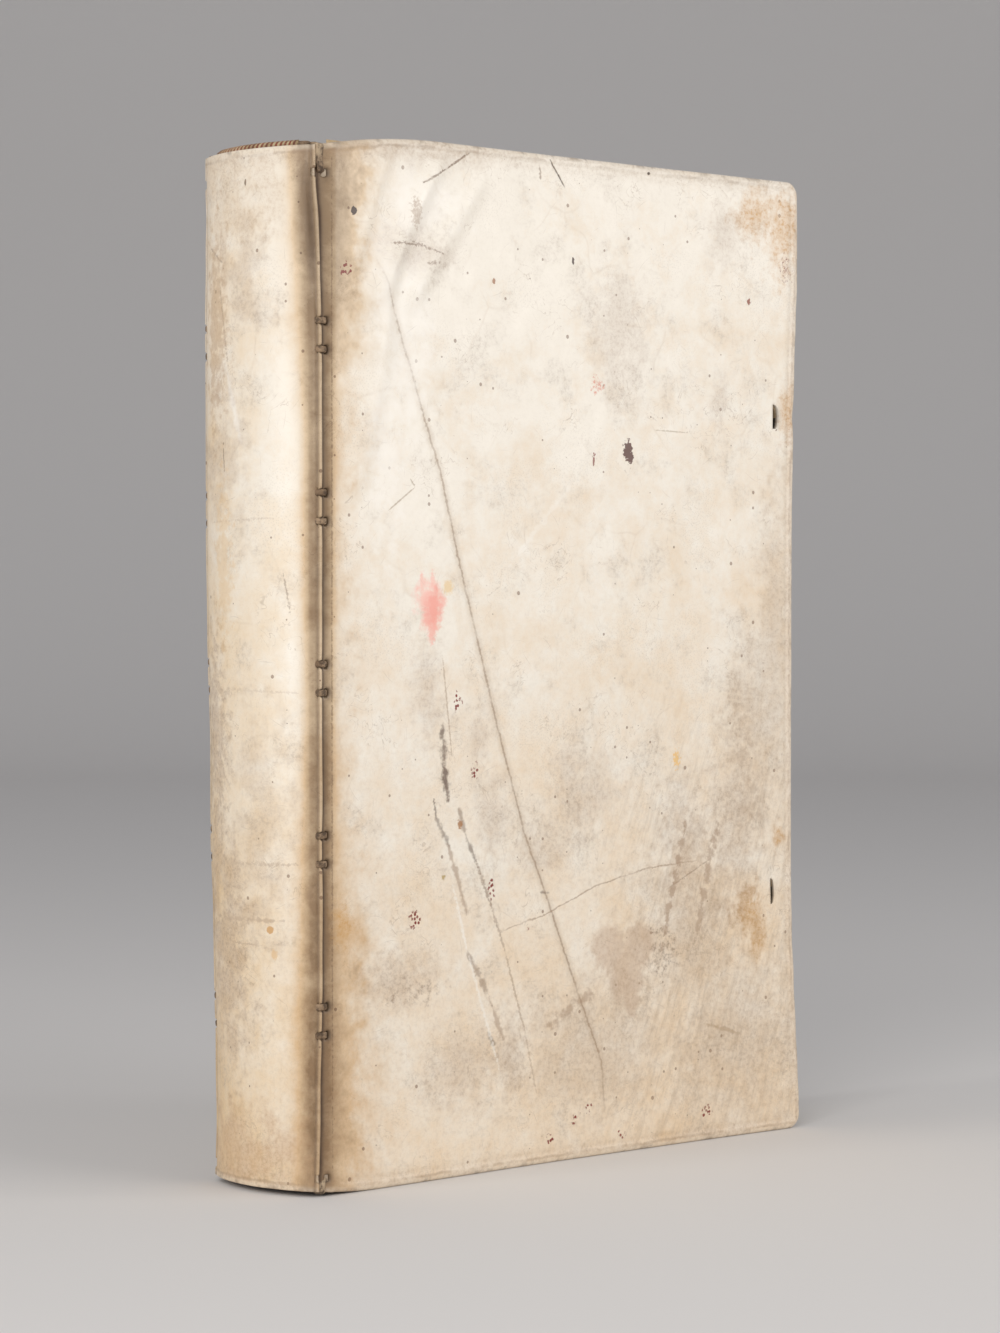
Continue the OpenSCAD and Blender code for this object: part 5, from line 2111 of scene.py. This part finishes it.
@dataclass(frozen=True)
class Studio:
    """Floor, soft lights and the camera."""

    floor_tone: Tint = (222, 219, 216)
    floor_half: float = 3.0
    sweep_r: float = 0.8
    wall_top: float = 4.0
    turn: float = -44.8
    lamp_tint: tuple[float, float, float] = (1.0, 0.985, 0.965)

    def stage(self) -> None:
        """Builds the floor with its swept-up backdrop."""
        bm = bmesh.new()
        half, r = self.floor_half, self.sweep_r
        bmesh.ops.create_grid(bm, x_segments=1, y_segments=1, size=half)
        edges = [e for e in bm.edges if all(v.co.y > half - MM for v in e.verts)]
        for k in range(1, 13):
            a = math.radians(90 * k / 12)
            sweep = (half + r * math.sin(a), r * (1 - math.cos(a)))
            edges = extruded(bm, edges, lambda v, sweep=sweep: Vector((v.co.x, *sweep)))
        extruded(bm, edges, lambda v: Vector((v.co.x, half + r, self.wall_top)))
        bmesh.ops.rotate(
            bm, verts=bm.verts, cent=(0, 0, 0), matrix=Matrix.Rotation(math.radians(self.turn), 3, "Z"),
        )
        mesh = bpy.data.meshes.new("floor")
        bm.to_mesh(mesh)
        bm.free()
        mesh.shade_smooth()
        floor = bpy.data.objects.new("floor", mesh)
        bpy.context.scene.collection.objects.link(floor)
        material, g, shader = fresh("studio_paper", 0.9)
        g.feed(shader, {"Base Color": colour(*self.floor_tone)})
        mesh.materials.append(material)

    def lamp(self, name: str, at: tuple[float, float, float], size: Pair, power: float) -> None:
        """Adds one soft lamp that faces the book.

        Args:
            name: Its name.
            at: Where it hangs.
            size: Its width and height.
            power: Its power in watts.
        """
        light = bpy.data.lights.new(name, "AREA")
        light.shape = "RECTANGLE"
        light.size, light.size_y = size
        light.energy = power
        light.color = self.lamp_tint
        lamp = bpy.data.objects.new(name, light)
        lamp.location = at
        aim = Vector((0, 0, 0.19)) - Vector(at)
        lamp.rotation_euler = aim.to_track_quat("-Z", "Y").to_euler()
        bpy.context.scene.collection.objects.link(lamp)

    def lights(self) -> None:
        """Hangs the lamps and sets the dim room."""
        self.lamp("main_softbox", (-1.75, -1.05, 1.05), (1.1, 1.3), 20.4)
        self.lamp("side_strip", (-1.8, 0.28, 0.45), (0.32, 1.5), 8.5)
        self.lamp("front_softbox", (0.35, -1.9, 1.2), (1.1, 1.1), 9.3)
        self.lamp("glance_softbox", (1.22, -1.55, 0.62), (0.5, 0.8), 7.2)
        world = bpy.data.worlds.new("room")
        bpy.context.scene.world = world
        world.use_nodes = True
        world.node_tree.nodes["Background"].inputs[0].default_value = (0.94, 0.95, 1.0, 1)
        world.node_tree.nodes["Background"].inputs[1].default_value = 0.39

    def camera(self) -> None:
        """Places the camera at the photograph's angle."""
        data = bpy.data.cameras.new("camera")
        data.lens = 100.0
        data.sensor_fit = "VERTICAL"
        data.sensor_height = 36.0
        data.clip_end = 50
        camera = bpy.data.objects.new("camera", data)
        camera.location = (-1.0159, -1.0218, 0.2169)
        yaw, pitch = math.radians(44.76), math.radians(1.09)
        aim = Vector((math.sin(yaw) * math.cos(pitch), math.cos(yaw) * math.cos(pitch), -math.sin(pitch)))
        camera.rotation_euler = aim.to_track_quat("-Z", "Y").to_euler()
        bpy.context.scene.collection.objects.link(camera)
        bpy.context.scene.camera = camera

    def built(self) -> None:
        """Sets up the stage, the lights, the camera and the plain view transform."""
        self.stage()
        self.lights()
        self.camera()
        bpy.context.scene.view_settings.view_transform = "Standard"


class Folio:
    """The whole book, built piece by piece."""

    def __init__(self) -> None:
        """Makes the finishes."""
        fx = Effects()
        self.front = ParchmentFinish(
            "parchment_front", FRONT_MARKS, FRONT_SCRAPES, FRONT_CREASES, FRONT_STAINS_AND_PAINTED_LIGHT,
        ).made(fx)
        self.spine = ParchmentFinish(
            "parchment_spine", SPINE_MARKS, SPINE_SCRAPES, side_warm=0.08, beige=(231, 204, 164),
        ).made(fx)
        self.back = ParchmentFinish("parchment_back").made(fx)
        self.edges = PaperFinish("leaf_edges", PaperKind.EDGES).made(fx)
        self.leaf = PaperFinish("laid_leaf", PaperKind.LEAF).made(fx)
        self.pasted = PaperFinish("pasted_paper", PaperKind.PASTED, (226, 208, 172), (196, 168, 126)).made(fx)
        self.board = PaperFinish("pasteboard", PaperKind.BOARD, (168, 148, 120), (130, 110, 86)).made(fx)
        self.tawed = FibreFinish("tawed_skin", (164, 138, 110), (118, 94, 70), (56, 42, 30), 0.75).made(fx)
        self.slips = FibreFinish("tawed_slips", (178, 156, 128), (132, 108, 84), (62, 46, 34), 0.85).made(fx)
        self.plain = FibreFinish(
            "plain_silk", (216, 196, 158), (186, 160, 120), soiling=0.35, ply=900.0,
        ).made(fx)
        self.red = FibreFinish("red_silk", (158, 92, 68), (122, 66, 50), soiling=0.3, ply=900.0).made(fx)

    def built(self) -> None:
        """Builds every piece in the order in which a binder meets them."""
        TextBlock(self.edges, self.leaf).built()
        CarriedPiece("spine_linings", self.pasted, "pages", "book").built()
        for index, z in enumerate(SIZES.thongs):
            Thong(f"thong_{index // 2 + 1}_{('lower', 'upper')[index % 2]}", z, self.tawed).built()
        for end in End:
            Endband(end, self.slips, self.plain, self.red).built()
        rows = CoverSkin(Side.FRONT, self.front).rows()
        SpineSkin(self.spine, rows).built()
        for side in Side:
            CoverSkin(side, self.front if side is Side.FRONT else self.back).built()
            Pastedown(side, self.pasted).built()
            CarriedPiece(f"{side.word}_board", self.board, "pasteboard", side.body, side).built()
            CarriedPiece(f"{side.word}_slip_ends", self.tawed, "tawed_skin", side.body, side, 1).built()


def main() -> None:
    """Builds the studio and the book."""
    logging.basicConfig(level=logging.INFO, format="%(name)s %(message)s")
    Studio().built()
    Folio().built()


if __name__ == "__main__":
    main()
